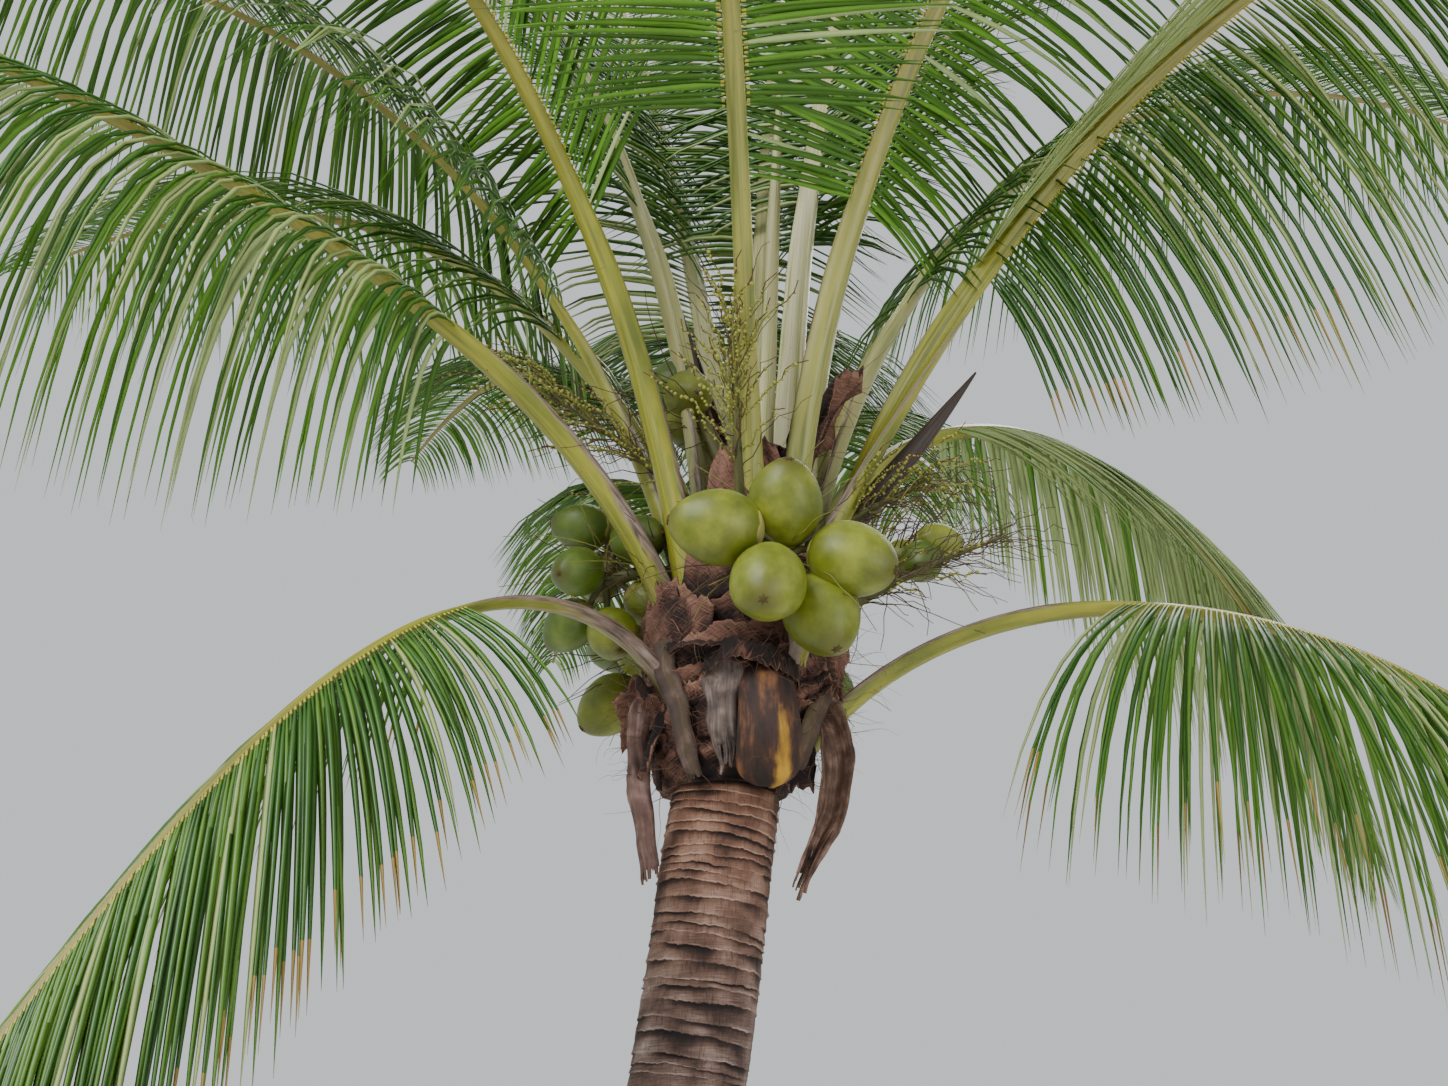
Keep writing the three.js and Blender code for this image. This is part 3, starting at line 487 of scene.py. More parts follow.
def stalkPiece(row, material):
    points, skins, margins = [], [], []
    half = len(stalkHalf)
    places = list(range(half)) + [-k for k in range(half - 2, 0, -1)]
    for i in range(stalk["stations"] + 1):
        u = i / stalk["stations"]
        run = u * row["length"]
        flare = math.exp(-run / stalk["flareRun"])
        share = max(0, (u - row["stalk"]) / (1 - row["stalk"]))
        wide = (lerp(rib["width"], rib["tipWidth"], share) + stalk["flareWidth"] * flare) * row["slim"]
        high = (lerp(rib["height"], rib["tipHeight"], share) + stalk["flareHeight"] * flare) * row["slim"]
        ridge = smoothStep(row["stalk"] - 0.06, row["stalk"] + 0.05, u)
        fade = math.exp(-run / (0.55 * (1 - 0.75 * row["young"])))
        at, head, right, over = ribAt(row, u)
        for k in places:
            hand = 1 if k >= 0 else -1
            x = lerp(stalkHalf[abs(k)][0], ribHalf[abs(k)][0], ridge) * hand * wide / 2
            y = lerp(stalkHalf[abs(k)][1], ribHalf[abs(k)][1], ridge) * high
            points.append(at + right * x + over * y)
            skins.append((x + abs(k) * 0.004 * hand, run, row["side"] * 0.01))
            edge = math.exp(-((abs(k) - 4.2) / 1.3) ** 2)
            dried = (edge * (0.25 + 0.75 * fade) + 0.45 * row["worn"]) * (1 - ridge)
            margins.append(dried + 0.3 * fade ** 3)
    faces = ringFaces(stalk["stations"] + 1, len(places))
    piece = makeObject("stalk_" + row["name"], points, faces, [material])
    addValues(piece, "skin", skins)
    addValues(piece, "margin", margins)
    addValues(piece, "young", [row["young"]] * len(points))
    seatPiece(piece, "frond_stalk", f"frond_{row['name']}_stalk")


stalkSkin = stalkMaterial()
for row in fronds:
    stalkPiece(row, stalkSkin)
print("frond stalks and ribs")


# Leaflet blades: thin and folded, slightly glossy above, duller below.
# upperPale is painted light, a pale sheen of the sky on upper faces; underPale is painted light too, the
# glow of light shining through undersides
leafColours = {
    "upper": ("coconut leaflet, glossy upper face", "#496f1a", 0.42),
    "upperDark": ("coconut leaflet, older upper face", "#305813", 0.4),
    "upperPale": ("coconut leaflet upper face, pale with painted sky sheen", "#8f9f5e", 0.5),
    "under": ("coconut leaflet, matt underside", "#3f6a0a", 0.6),
    "underLight": ("coconut leaflet, sunlit underside", "#5a8b1b", 0.6),
    "base": ("coconut leaflet foot, swollen and yellow", "#b3a53c", 0.5),
    "underPale": ("coconut leaflet, bleached underside", "#a2b775", 0.6),
    "dry": ("coconut leaflet tip, dried", "#8f7434", 0.7),
}
# their tone changes about every 120 mm
leafDrift = {"scale": 8, "detail": 3, "low": 0.86, "high": 1.14}
leafMaterials = {key: driftingMaterial(*value, **leafDrift) for key, value in leafColours.items()}


def leafletTree():
    # Each point grows into one folded leaflet that leaves the rib in its own direction and bends down.
    tree, add, given = newTree("leaflets", {"Steps": 10, "Width": 0.0235, "Fold": 0.34, "Thickness": 0.08,
                                            "Crowding": 1.9, "Bend power": 1.2, "Pale share": 0.1,
                                            "Dry share": 0.3})
    start, across, wayNow = (add("InputNamedAttribute", name, data_type="FLOAT_VECTOR")
                             for name in ("start", "across", "way"))
    span, sag, share, breadth, upper, tone = (
        add("InputNamedAttribute", name, data_type="FLOAT")
        for name in ("span", "sag", "share", "breadth", "upper", "tone"))
    number = add("InputNamedAttribute", "leaflet", data_type="INT")
    points = add("MeshToPoints", given["Geometry"])
    knots = add("Math", given["Steps"], 1, operation="ADD")
    copies = add("DuplicateElements", points, Amount=knots, domain="POINT")
    count = copies.outputs["Duplicate Index"]
    # knots crowd towards the rib, and each bends by what is due halfway between it and the one before
    lastKnot = add("Math", count, 1.0, operation="SUBTRACT")
    lastKnot = add("Math", lastKnot, 0.0, operation="MAXIMUM")
    along, before = (add("Math", add("Math", knot, given["Steps"], operation="DIVIDE"), given["Crowding"],
                         operation="POWER") for knot in (count, lastKnot))
    middle = add("Math", add("Math", along, before, operation="ADD"), 0.5, operation="MULTIPLY")
    bend = add("Math", middle, given["Bend power"], operation="POWER")
    drop = add("Math", bend, sag, operation="MULTIPLY")
    fall = add("VectorMath", (0, 0, -2), drop, operation="SCALE")
    way = add("VectorMath", add("VectorMath", start, fall, operation="ADD"), operation="NORMALIZE")
    gap = add("Math", along, before, operation="SUBTRACT")
    stride = add("Math", span, gap, operation="MULTIPLY")
    step = add("VectorMath", way, stride, operation="SCALE")
    stores = (("way", way, "FLOAT_VECTOR"), ("share", along, "FLOAT"), ("knot", count, "INT"))
    curves = strung(add, copies, stores, step, number)
    # the blade lies flat across its own way
    lean = add("VectorMath", across, wayNow, operation="DOT_PRODUCT")
    part = add("VectorMath", wayNow, lean, operation="SCALE")
    square = add("VectorMath", across, part, operation="SUBTRACT")
    flat = add("VectorMath", square, operation="NORMALIZE")
    turned = add("SetCurveNormal", curves, Normal=flat, mode="FREE")
    # it widens from its foot and tapers to a point
    opening = add("MapRange", share, 0, 0.14, 0.35, 1)
    rest = add("Math", 1.01, add("Math", share, 1.6, operation="POWER"), operation="SUBTRACT")
    taper = add("Math", rest, 0.75, operation="POWER")
    shape = add("Math", opening, taper, operation="MULTIPLY")
    sized = add("Math", shape, breadth, operation="MULTIPLY")
    scale = add("Math", sized, given["Width"], operation="MULTIPLY")
    inner = add("Math", given["Fold"], given["Thickness"], operation="SUBTRACT")
    section = add("CurvePrimitiveQuadrilateral", mode="POINTS", Point_1=(0.5, 0, 0),
                  Point_2=add("CombineXYZ", Y=given["Fold"]), Point_3=(-0.5, 0, 0),
                  Point_4=add("CombineXYZ", Y=inner))
    index = add("InputIndex")
    isRidge, isHollow = (add("Compare", index, corner, data_type="INT", operation="EQUAL")
                         for corner in (1, 3))
    faceSide = add("Math", isRidge, isHollow, operation="SUBTRACT")
    sided = add("StoreNamedAttribute", section, Name="upper", Value=faceSide, data_type="FLOAT")
    made = add("CurveToMesh", turned, sided, Scale=scale, Fill_Caps=True)
    made = add("RealizeInstances", made)
    isUpper = add("Math", upper, 0.0, operation="GREATER_THAN")
    isUnder = add("Math", 1.0, isUpper, operation="SUBTRACT")
    isLate = add("Math", tone, 0.55, operation="GREATER_THAN")
    isPale = add("Math", tone, given["Pale share"], operation="LESS_THAN")
    isFoot = add("Math", share, 0.012, operation="LESS_THAN")
    dryLength = add("Math", tone, given["Dry share"], -0.02, operation="MULTIPLY_ADD")
    dryFrom = add("Math", 1.0, dryLength, operation="SUBTRACT")
    isDry = add("Math", share, dryFrom, operation="GREATER_THAN")
    # pale leaflets take painted light: a sky sheen on their upper faces and the glow of light through their
    # undersides
    darkUpper, paleUpper, lightUnder, paleUnder = (
        add("Math", face, kind, operation="MULTIPLY")
        for face in (isUpper, isUnder) for kind in (isLate, isPale))
    deals = [("upper", True), ("upperDark", darkUpper), ("upperPale", paleUpper), ("under", isUnder),
             ("underLight", lightUnder), ("underPale", paleUnder), ("base", isFoot), ("dry", isDry)]
    for key, chosen in deals:
        made = add("SetMaterial", made, chosen, leafMaterials[key])
    add("GroupOutput", made)
    return tree


def leafletPiece(row, tree, seed):
    rng = random.Random(seed)
    roots = []
    leaves = {key: [] for key in ("start", "across", "span", "sag", "tone", "breadth")}
    longestAt = leaflet["longestAt"]
    for k in range(row["count"]):
        for side, hand in enumerate((1, -1)):
            share = (k + rng.uniform(0.2, 0.8)) / row["count"]
            at, head, right, over = ribAt(row, row["stalk"] + (1 - row["stalk"]) * share)
            if share < longestAt:
                long = lerp(row["first"], 1, math.sin(math.pi / 2 * share / longestAt))
            else:
                long = 1 - (1 - leaflet["last"]) * ((share - longestAt) / (1 - longestAt)) ** 1.5
            sweep = lerp(row["swept"][side], row["open"][side], math.exp(-share * row["fan"]))
            sweep = math.radians(sweep + leaflet["sweepJitter"] * rng.uniform(-1, 1))
            lift = math.radians(row["lift"][side] + leaflet["liftJitter"] * rng.uniform(-1, 1))
            out = right * (hand * math.cos(lift)) + over * math.sin(lift)
            start = head * math.cos(sweep) + out * math.sin(sweep)
            folded = row["lift"][side] > 60
            roots.append(at + right * (hand * rib["width"] * 0.4 * (1 - share)))
            leaves["start"].append(start)
            leaves["across"].append((head - start * head.dot(start)).normalized() * hand)
            leaves["span"].append(row["leaf"] * long * (1 + leaflet["lengthJitter"] * rng.uniform(-1, 1)))
            leaves["sag"].append(row["hang"][side] * (1 + leaflet["droopJitter"] * rng.uniform(-1, 1)))
            # leaflets raised more than 60 degrees all take the pale colours: painted sky sheen on faces
            # turned to the sky
            leaves["tone"].append(rng.random() * (row["pale"] if folded else 1))
            leaves["breadth"].append(lerp(1.0, 0.45, share ** 2) * rng.uniform(0.85, 1.1))
    piece = makeObject("leaflets_" + row["name"], roots)
    for name, values in leaves.items():
        addValues(piece, name, values)
    addValues(piece, "leaflet", list(range(len(roots))), "INT")
    grow(piece, tree, {"Pale share": row["pale"], "Dry share": row["dry"] * 0.2, "Bend power": row["bend"],
                       "Width": row["width"], "Steps": row["steps"]})
    seatPiece(piece, "leaflet", f"frond_{row['name']}_blade")


blades = leafletTree()
for seed, row in enumerate(fronds):
    leafletPiece(row, blades, seed)
print("leaflets")


# Leaf sheath fibre: dry brown cloth of crossing strands, with painted shade in its folds, hollows and inner
# faces and a painted pinkish highlight on its crests and torn upper edges.
def fibreMaterial():
    add, done = newMaterial("coconut sheath fibre, woven and torn", 0.95)
    cloth = add("Attribute", attribute_name="cloth").outputs["Vector"]
    depth = add("Attribute", attribute_name="depth").outputs["Fac"]
    # strands really lie about 1 mm apart and are drawn 3 mm apart, so that they show
    turns = [add("Mapping", cloth, Rotation=(0, 0, turn)) for turn in (1.15, -0.85)]
    maps = [add("Mapping", turned, Scale=(330, 26, 1)) for turned in turns]
    weave = add("Math", *[add("TexNoise", place, Scale=1, Detail=3) for place in maps], operation="MAXIMUM")
    weave = add("Math", weave, 1.8, -0.45, operation="MULTIPLY_ADD")
    blotch = add("TexNoise", add("TexCoord").outputs["Object"], Scale=18, Detail=6, Roughness=0.6)
    # painted shade and light: depth darkens folds, hollows and sheet backs, over the real weave and blotches
    mixed = add("Math", depth, 0.95, weave, operation="MULTIPLY_ADD")
    mixed = add("Math", blotch, 0.5, mixed, operation="MULTIPLY_ADD")
    mixed = add("Math", mixed, 0.62, operation="MULTIPLY")
    colour = add("ValToRGB", mixed, stops=[(0.62, "#120907"), (0.76, "#3a241c"), (0.92, "#6b493c")])
    # painted highlight: where the sum is highest, on crests and torn upper edges, the cloth turns pale pink
    edge = add("MapRange", mixed, 0.96, 1.2, 0.0, 0.9)
    colour = add("Mix", edge, colour, "#94705d", data_type="RGBA")
    return done(colour, add("Bump", Strength=0.8, Distance=0.002, Height=weave))


# One row for each torn wrap of the sheath: angle, width in degrees, foot height, how far it rises, how far
# its top leans out, how far the top rolls over and how much higher its right end stands. Those in front are
# listed one by one, the others by rule.
wrapKeys = ("angle", "span", "z", "rise", "lean", "roll", "slant")
wraps = [
    (212, 78, 2.94, 0.21, 0.03, 0.01, 0.03), (196, 60, 3.0, 0.17, 0.034, 0.02, 0.05),
    (246, 84, 2.91, 0.1, 0.04, 0.05, -0.02), (236, 70, 2.85, 0.1, 0.028, 0.02, 0.03),
    (278, 54, 2.93, 0.07, 0.07, 0.09, -0.02), (290, 60, 2.97, 0.1, 0.034, 0.02, 0.04),
    (324, 58, 2.91, 0.18, 0.048, 0.02, -0.04), (316, 56, 2.83, 0.13, 0.052, 0.05, 0.04),
    (342, 54, 2.8, 0.14, 0.05, 0.04, -0.03), (308, 44, 2.76, 0.12, 0.04, 0.02, 0.03),
    (194, 50, 2.8, 0.15, 0.075, 0.05, 0.04), (222, 50, 2.76, 0.13, 0.024, 0.01, -0.04),
    (206, 36, 2.84, -0.15, 0.05, 0.01, 0.02), (324, 34, 2.82, -0.16, 0.045, 0.02, 0.02),
    (300, 26, 2.79, -0.11, 0.02, 0.01, 0.0), (250, 60, 2.79, 0.13, 0.016, 0.0, 0.03),
    (345, 90, 3.4, 0.26, 0.075, 0.02, 0.0), (352, 60, 3.42, 0.34, 0.17, 0.03, 0.0),
    (255, 80, 3.3, 0.22, 0.03, 0.0, 0.0),
]
sheath = {
    "heights": [2.7, 2.76, 2.86, 2.96, 3.06, 3.18, 3.32, 3.55],
    "radii": [0.139, 0.166, 0.196, 0.204, 0.192, 0.16, 0.122, 0.044],
    "columns": 150, "rows": 130, "fold": 0.014, "crease": 0.003, "crumple": 0.006, "wrapColumns": 40,
    "wrapRows": 13, "wraps": 15, "wrapLow": 2.7, "wrapHigh": 3.14, "wrapFold": 0.024, "wrapCrease": 0.007,
    "wrapCrumple": 0.011, "thickness": 0.003, "seed": 5,
}


def sheathRadius(z):
    heights, radii = sheath["heights"], sheath["radii"]
    for k in range(len(heights) - 1):
        if z <= heights[k + 1]:
            return lerp(radii[k], radii[k + 1], smoothStep(heights[k], heights[k + 1], z))
    return radii[-1]


def crumpled(at, amount, seed):
    # moves a place by soft folds of about 90 mm and smaller ones of 30 mm
    offset = Vector((seed * 3.7, seed * 1.3, seed * 2.1))
    folds = noise.noise_vector(at * 11 + offset) * amount
    return at + folds + noise.noise_vector(at * 34 + offset) * (amount * 0.18)


class Shell:
    # gathers points, faces, cloth coordinates and depths of many sheets into one mesh
    def __init__(self):
        self.points, self.faces, self.cloth, self.depth = [], [], [], []

    def addSheet(self, grid, thickness):
        # a closed thin sheet from a grid of places, its back set off along the sheet's own normals
        rows, columns = len(grid), len(grid[0])
        first = len(self.points)
        normals = []
        for i in range(rows):
            for j in range(columns):
                a = grid[min(i + 1, rows - 1)][j][0] - grid[max(i - 1, 0)][j][0]
                b = grid[i][min(j + 1, columns - 1)][0] - grid[i][max(j - 1, 0)][0]
                normals.append(b.cross(a).normalized())
        for back in (0, 1):
            for k, (at, u, v, depth) in enumerate(place for line in grid for place in line):
                self.points.append(at - normals[k] * (thickness * back))
                self.cloth.append((u, v, back * 0.1))
                # the back gets a lower depth: painted shade on the inner faces of the sheath's sheets; the
                # straps' live bands shift with it
                self.depth.append(depth * (1 - 0.6 * back))

        def quad(*corners):
            self.faces.append(tuple(first + (back * rows + i) * columns + j for i, j, back in corners))

        for i in range(rows - 1):
            for j in range(columns - 1):
                quad((i, j, 0), (i, j + 1, 0), (i + 1, j + 1, 0), (i + 1, j, 0))
                quad((i, j, 1), (i + 1, j, 1), (i + 1, j + 1, 1), (i, j + 1, 1))
        last = columns - 1
        for i in range(rows - 1):
            quad((i, 0, 0), (i + 1, 0, 0), (i + 1, 0, 1), (i, 0, 1))
            quad((i, last, 0), (i, last, 1), (i + 1, last, 1), (i + 1, last, 0))
        last = rows - 1
        for j in range(columns - 1):
            quad((0, j, 0), (0, j, 1), (0, j + 1, 1), (0, j + 1, 0))
            quad((last, j, 0), (last, j + 1, 0), (last, j + 1, 1), (last, j, 1))

    def piece(self, name, material):
        made = makeObject(name, self.points, self.faces, [material])
        addValues(made, "cloth", self.cloth)
        addValues(made, "depth", self.depth)
        return made


def wrapSheet(shell, row, seed):
    rows, columns = sheath["wrapRows"], sheath["wrapColumns"]
    grid = []
    for i in range(rows):
        t = i / (rows - 1)
        line = []
        for j in range(columns):
            s = 2 * j / (columns - 1) - 1
            torn = 1 + 0.16 * rough(s * 2.3, seed * 1.7, 0) + 0.1 * rough(s * 11, seed * 5.1, 3)
            torn += 0.12 * rough(s * 45, seed * 2.9, 7)
            rise = row["rise"] * t * torn * (1 - 0.45 * abs(s) ** 3)
            z = row["z"] + row["slant"] * s + rise
            z -= math.copysign(row["roll"], row["rise"]) * max(0, t - 0.62) ** 2 * 6
            reach = sheathRadius(clamp(row["z"] + rise * 0.3, 2.71, 3.5)) + 0.002
            crease = ridged(s * 1.3 + seed, t * 1.8, seed * 2.3)
            fold = sheath["wrapFold"] * rough(s * 2.1, seed * 3.3, t * 0.8) * (0.2 + 0.8 * t)
            out = reach + row["lean"] * (0.1 + 0.9 * t ** 1.5) * (1 - 0.3 * abs(s) ** 2) + fold
            out += sheath["wrapCrease"] * crease
            at = around(row["angle"] + s * row["span"] / 2, out, z)
            at = crumpled(at, sheath["wrapCrumple"] * (0.3 + t), seed)
            # painted shade: each wrap is darker towards its foot and in its crease hollows, lighter towards
            # its torn top and on crease crests
            depth = clamp(0.15 + 0.65 * t ** 1.5 + 0.35 * crease)
            line.append((at, s * row["span"] * 0.0018, rise, depth))
        grid.append(line)
    shell.addSheet(grid, sheath["thickness"])


def sheathPiece(material):
    shell = Shell()
    columns, rows = sheath["columns"], sheath["rows"]
    for i in range(rows):
        z = lerp(sheath["heights"][0], sheath["heights"][-1], i / (rows - 1))
        inner = 0 < i < rows - 1
        for j in range(columns):
            angle = 2 * math.pi * j / columns
            x, y = math.cos(angle), math.sin(angle)
            # the cloth lies in level folds, torn and pushed up by the stalks inside
            fold = ridged(x * 1.2, y * 1.2, z * 12 + 1.5 * rough(x * 2, y * 2, z * 3))
            crease = ridged(x * 3.5, y * 3.5, z * 36)
            reach = sheathRadius(z) + (sheath["fold"] * fold + sheath["crease"] * crease) * inner
            at = axisAt(z) + Vector((x, y, 0)) * reach
            shell.points.append(crumpled(at, sheath["crumple"], 1) if inner else at)
            shell.cloth.append((angle * 0.18, z, 0))
            # painted shade: the body is darker in the hollows of its folds and creases, lighter on their
            # crests
            shell.depth.append(clamp(0.1 + 0.5 * fold + 0.3 * crease))
    shell.faces += ringFaces(rows, columns)
    rng = random.Random(sheath["seed"])
    rows = list(wraps)
    for k in range(sheath["wraps"]):
        span = rng.uniform(90, 150)
        z = lerp(sheath["wrapLow"], sheath["wrapHigh"], k / (sheath["wraps"] - 1))
        z += rng.uniform(-0.03, 0.03)
        rows.append((goldenAngle * k + 20, span, z, rng.uniform(0.12, 0.24), rng.uniform(0.01, 0.032),
                     rng.uniform(0.0, 0.03), rng.uniform(-0.05, 0.05)))
    for seed, row in enumerate(rows):
        wrapSheet(shell, dict(zip(wrapKeys, row)), seed)
    piece = shell.piece("torn_leaf_sheath", material)
    seatPiece(piece, "sheath_fibre", "leaf_sheath")
    return piece


# Dead leaf bases: grey-mauve or brown, ribbed lengthwise, frayed at the ends, some still half green.
def strapMaterial(name, tones, bands):
    add, done = newMaterial(name, 0.8)
    cloth = add("Attribute", attribute_name="cloth").outputs["Vector"]
    # ribs of about 5 mm that run lengthwise, and worn patches of 40 mm
    ribs = add("TexNoise", add("Mapping", cloth, Scale=(200, 9, 1)), Scale=1, Detail=5, Roughness=0.6)
    patch = add("TexNoise", add("TexCoord").outputs["Object"], Scale=25, Detail=4)
    mixed = add("Mix", 0.6, ribs, patch)
    colour = add("ValToRGB", mixed, stops=list(zip((0.33, 0.5, 0.68), tones)))
    if bands:
        # bands of skin that is still alive run lengthwise
        live = add("ValToRGB", add("Attribute", attribute_name="depth").outputs["Fac"], stops=bands)
        share = add("MapRange", mixed, 0.3, 0.62, 0.9, 0.35)
        colour = add("Mix", share, colour, live, data_type="RGBA")
    return done(colour, add("Bump", Strength=0.8, Distance=0.002, Height=ribs))


# points run down the middle of the strap and widths along it. turn swings it round, curl bows it across,
# fray is the torn share of its length, and bands are skin colours from its left edge to its right one.
straps = [
    {"name": "front_strap", "turn": 0, "curl": 0.01, "fray": 0.16,
     "points": [(0.47, -0.12, 3.01), (0.448, -0.222, 2.95), (0.44, -0.236, 2.83), (0.452, -0.196, 2.705)],
     "widths": [0.07, 0.105, 0.078, 0.04], "tones": ("#2c2320", "#5d4f49", "#8a7b73")},
    {"name": "left_strap", "turn": 40, "curl": 0.014, "fray": 0.08,
     "points": [(0.34, -0.06, 2.96), (0.258, -0.078, 2.9), (0.248, -0.084, 2.7), (0.286, -0.092, 2.475)],
     "widths": [0.07, 0.052, 0.062, 0.034], "tones": ("#38261f", "#644a42", "#8a716a")},
    {"name": "right_strap", "turn": -45, "curl": -0.024, "fray": 0.22,
     "points": [(0.6, -0.07, 2.9), (0.676, -0.104, 2.85), (0.684, -0.11, 2.66), (0.604, -0.096, 2.465)],
     "widths": [0.08, 0.072, 0.066, 0.03], "tones": ("#21150f", "#5c4336", "#98796a")},
    {"name": "left_low_clasp", "turn": -10, "curl": 0.013, "fray": 0.06,
     "points": [(0.3, -0.165, 3.0), (0.318, -0.18, 2.9), (0.345, -0.186, 2.8), (0.376, -0.148, 2.69)],
     "widths": [0.052, 0.062, 0.06, 0.03], "tones": ("#1f1613", "#4a3731", "#7a655c"),
     "bands": [(0.0, "#1e1613"), (0.6, "#3c2d27"), (0.85, "#4d4229"), (1.0, "#463530")]},
    {"name": "right_low_clasp", "turn": 20, "curl": 0.014, "fray": 0.06,
     "points": [(0.675, -0.085, 2.905), (0.655, -0.12, 2.85), (0.632, -0.14, 2.78), (0.59, -0.12, 2.7)],
     "widths": [0.064, 0.07, 0.062, 0.034], "tones": ("#1d1410", "#4a382e", "#80695a"),
     "bands": [(0.0, "#5b5230"), (0.3, "#4a3a2c"), (1.0, "#2a1d17")]},
    {"name": "front_stub", "turn": 12, "curl": 0.014, "fray": 0.08,
     "points": [(0.585, -0.15, 3.15), (0.61, -0.232, 3.07), (0.618, -0.248, 3.01), (0.612, -0.215, 2.93)],
     "widths": [0.05, 0.062, 0.07, 0.05], "tones": ("#5b4c44", "#84756b", "#a3968c"),
     "bands": [(0.0, "#77685e"), (0.28, "#8b7f6a"), (0.4, "#9a9a30"), (0.66, "#a5a23a"), (0.8, "#8b7f6a"),
               (1.0, "#6f6058")]},
]
strapShape = {"rows": 40, "columns": 18, "tatters": 8, "tatterColumns": 4, "thickness": 0.004,
              "ripple": 0.003, "sway": 0.01, "crumple": 0.012}


def alongCurve(points, t):
    # a smooth run through evenly spaced points
    last = len(points) - 1
    k = min(int(t * last), last - 1)
    f = t * last - k
    a, b = Vector(points[k]), Vector(points[k + 1])
    before = Vector(points[k - 1]) if k else a * 2 - b
    after = Vector(points[k + 2]) if k + 2 <= last else b * 2 - a
    return 0.5 * ((2 * a) + (b - before) * f + (2 * before - 5 * a + 4 * b - after) * f * f
                  + (3 * a - before - 3 * b + after) * f ** 3)


def curveHeading(points, t):
    return (alongCurve(points, min(t + 0.02, 1)) - alongCurve(points, max(t - 0.02, 0))).normalized()


def sampled(values, t):
    k = min(int(t * (len(values) - 1)), len(values) - 2)
    return lerp(values[k], values[k + 1], t * (len(values) - 1) - k)


def strapPlace(row, across, t, s):
    # a place on the strap at a share of its length and of its half width, and that half width
    capped = min(t, 1)
    points = row["points"]
    at = alongCurve(points, capped)
    if t > 1:
        at += curveHeading(points, 1) * (t - 1) * 0.5
    head = curveHeading(points, capped)
    side = (across - head * across.dot(head)).normalized()
    wide = sampled(row["widths"], capped) / 2 * (1 + 0.1 * rough(t * 9, row["seed"] * 2.3, 4))
    bow = row["curl"] * (1 - 2 * s * s) + strapShape["ripple"] * math.sin(s * 9 + 3 * t)
    return at + side * (s * wide) + side.cross(head) * bow, wide


def strapPiece(row, seed):
    shell = Shell()
    row["seed"] = seed
    rows, tatters, body = strapShape["rows"], strapShape["tatters"], 1 - row["fray"]
    second = Vector(row["points"][1])
    out = second - axisAt(second.z)
    out.z = 0
    across = Quaternion(up, math.radians(row["turn"])) @ out.cross(up).normalized()
    # the end is split into narrow tatters that stop at different lengths
    for part in range(tatters + 1):
        grid = []
        lengths = 1 + 0.5 * rough(part * 2.7, seed * 3.1, 0)
        count = strapShape["tatterColumns"] if part else strapShape["columns"]
        for i in range(rows):
            line = []
            down = i / (rows - 1)
            for j in range(count):
                if part == 0:
                    t, s = (body + 0.03) * down, 2 * j / (count - 1) - 1
                else:
                    t = body - 0.02 + row["fray"] * lengths * down
                    filled = 1.06 - 0.6 * down ** 1.5
                    s = -1 + 2 * (part - 0.5 + filled * (j / (count - 1) - 0.5)) / tatters
                place, wide = strapPlace(row, across, t, s)
                sway = strapShape["sway"] * max(0, t - body) / row["fray"]
                place += noise.noise_vector(Vector((part * 4.1, t * 5, seed))) * sway
                place = crumpled(place, strapShape["crumple"], seed + 20)
                line.append((place, s * wide, t * 0.5, 0.5 - 0.5 * s))
            grid.append(line)
        shell.addSheet(grid, strapShape["thickness"])
    material = strapMaterial("coconut leaf base, dying, " + row["name"], row["tones"], row.get("bands"))
    # those with live bands dress the foot of a frond and stand for no node
    nodes = [] if "bands" in row else [row["name"]]
    seatPiece(shell.piece(row["name"] + "_torn", material), "dry_strap", *nodes)


# The stub of a cut leaf in front: bulged, dark and dull with rot, with a yellow streak of live skin.
frontBase = {
    "points": [(0.53, -0.1, 2.965), (0.536, -0.212, 2.9), (0.542, -0.24, 2.78), (0.54, -0.165, 2.68)],
    "widths": [0.108, 0.12, 0.142, 0.146], "depths": [0.03, 0.042, 0.055, 0.05], "stripe": 0.4,
    "rows": 44, "columns": 36, "keel": 0.01, "crumple": 0.004,
}


def baseMaterial():
    add, done = newMaterial("coconut leaf stub, rotted skin", 0.78)
    skin = add("Attribute", attribute_name="cloth").outputs["Vector"]
    stripe = add("Attribute", attribute_name="stripe").outputs["Fac"]
    # rot spreads in blotches about 45 mm wide and 75 mm long, with fine lengthwise streaks in them
    blotch = add("TexNoise", add("Mapping", skin, Scale=(22, 13, 1)), Scale=1, Detail=6, Roughness=0.6)
    streak = add("TexNoise", add("Mapping", skin, Scale=(220, 12, 1)), Scale=1, Detail=3)
    mixed = add("Mix", 0.12, blotch, streak)
    rotted = add("ValToRGB", mixed, stops=[(0.38, "#1c0e09"), (0.5, "#371f16"), (0.58, "#5f3b22"),
                                           (0.68, "#85582c")])
    yellow = add("ValToRGB", mixed, stops=[(0.36, "#3d2712"), (0.47, "#8a651c"), (0.62, "#b48a26")])
    edge = add("Math", blotch, 1.4, stripe, operation="MULTIPLY_ADD")
    share = add("MapRange", edge, 1.1, 1.6, 0.0, 1.0)
    colour = add("Mix", share, rotted, yellow, data_type="RGBA")
    return done(colour, add("Bump", Strength=0.4, Distance=0.002, Height=mixed))


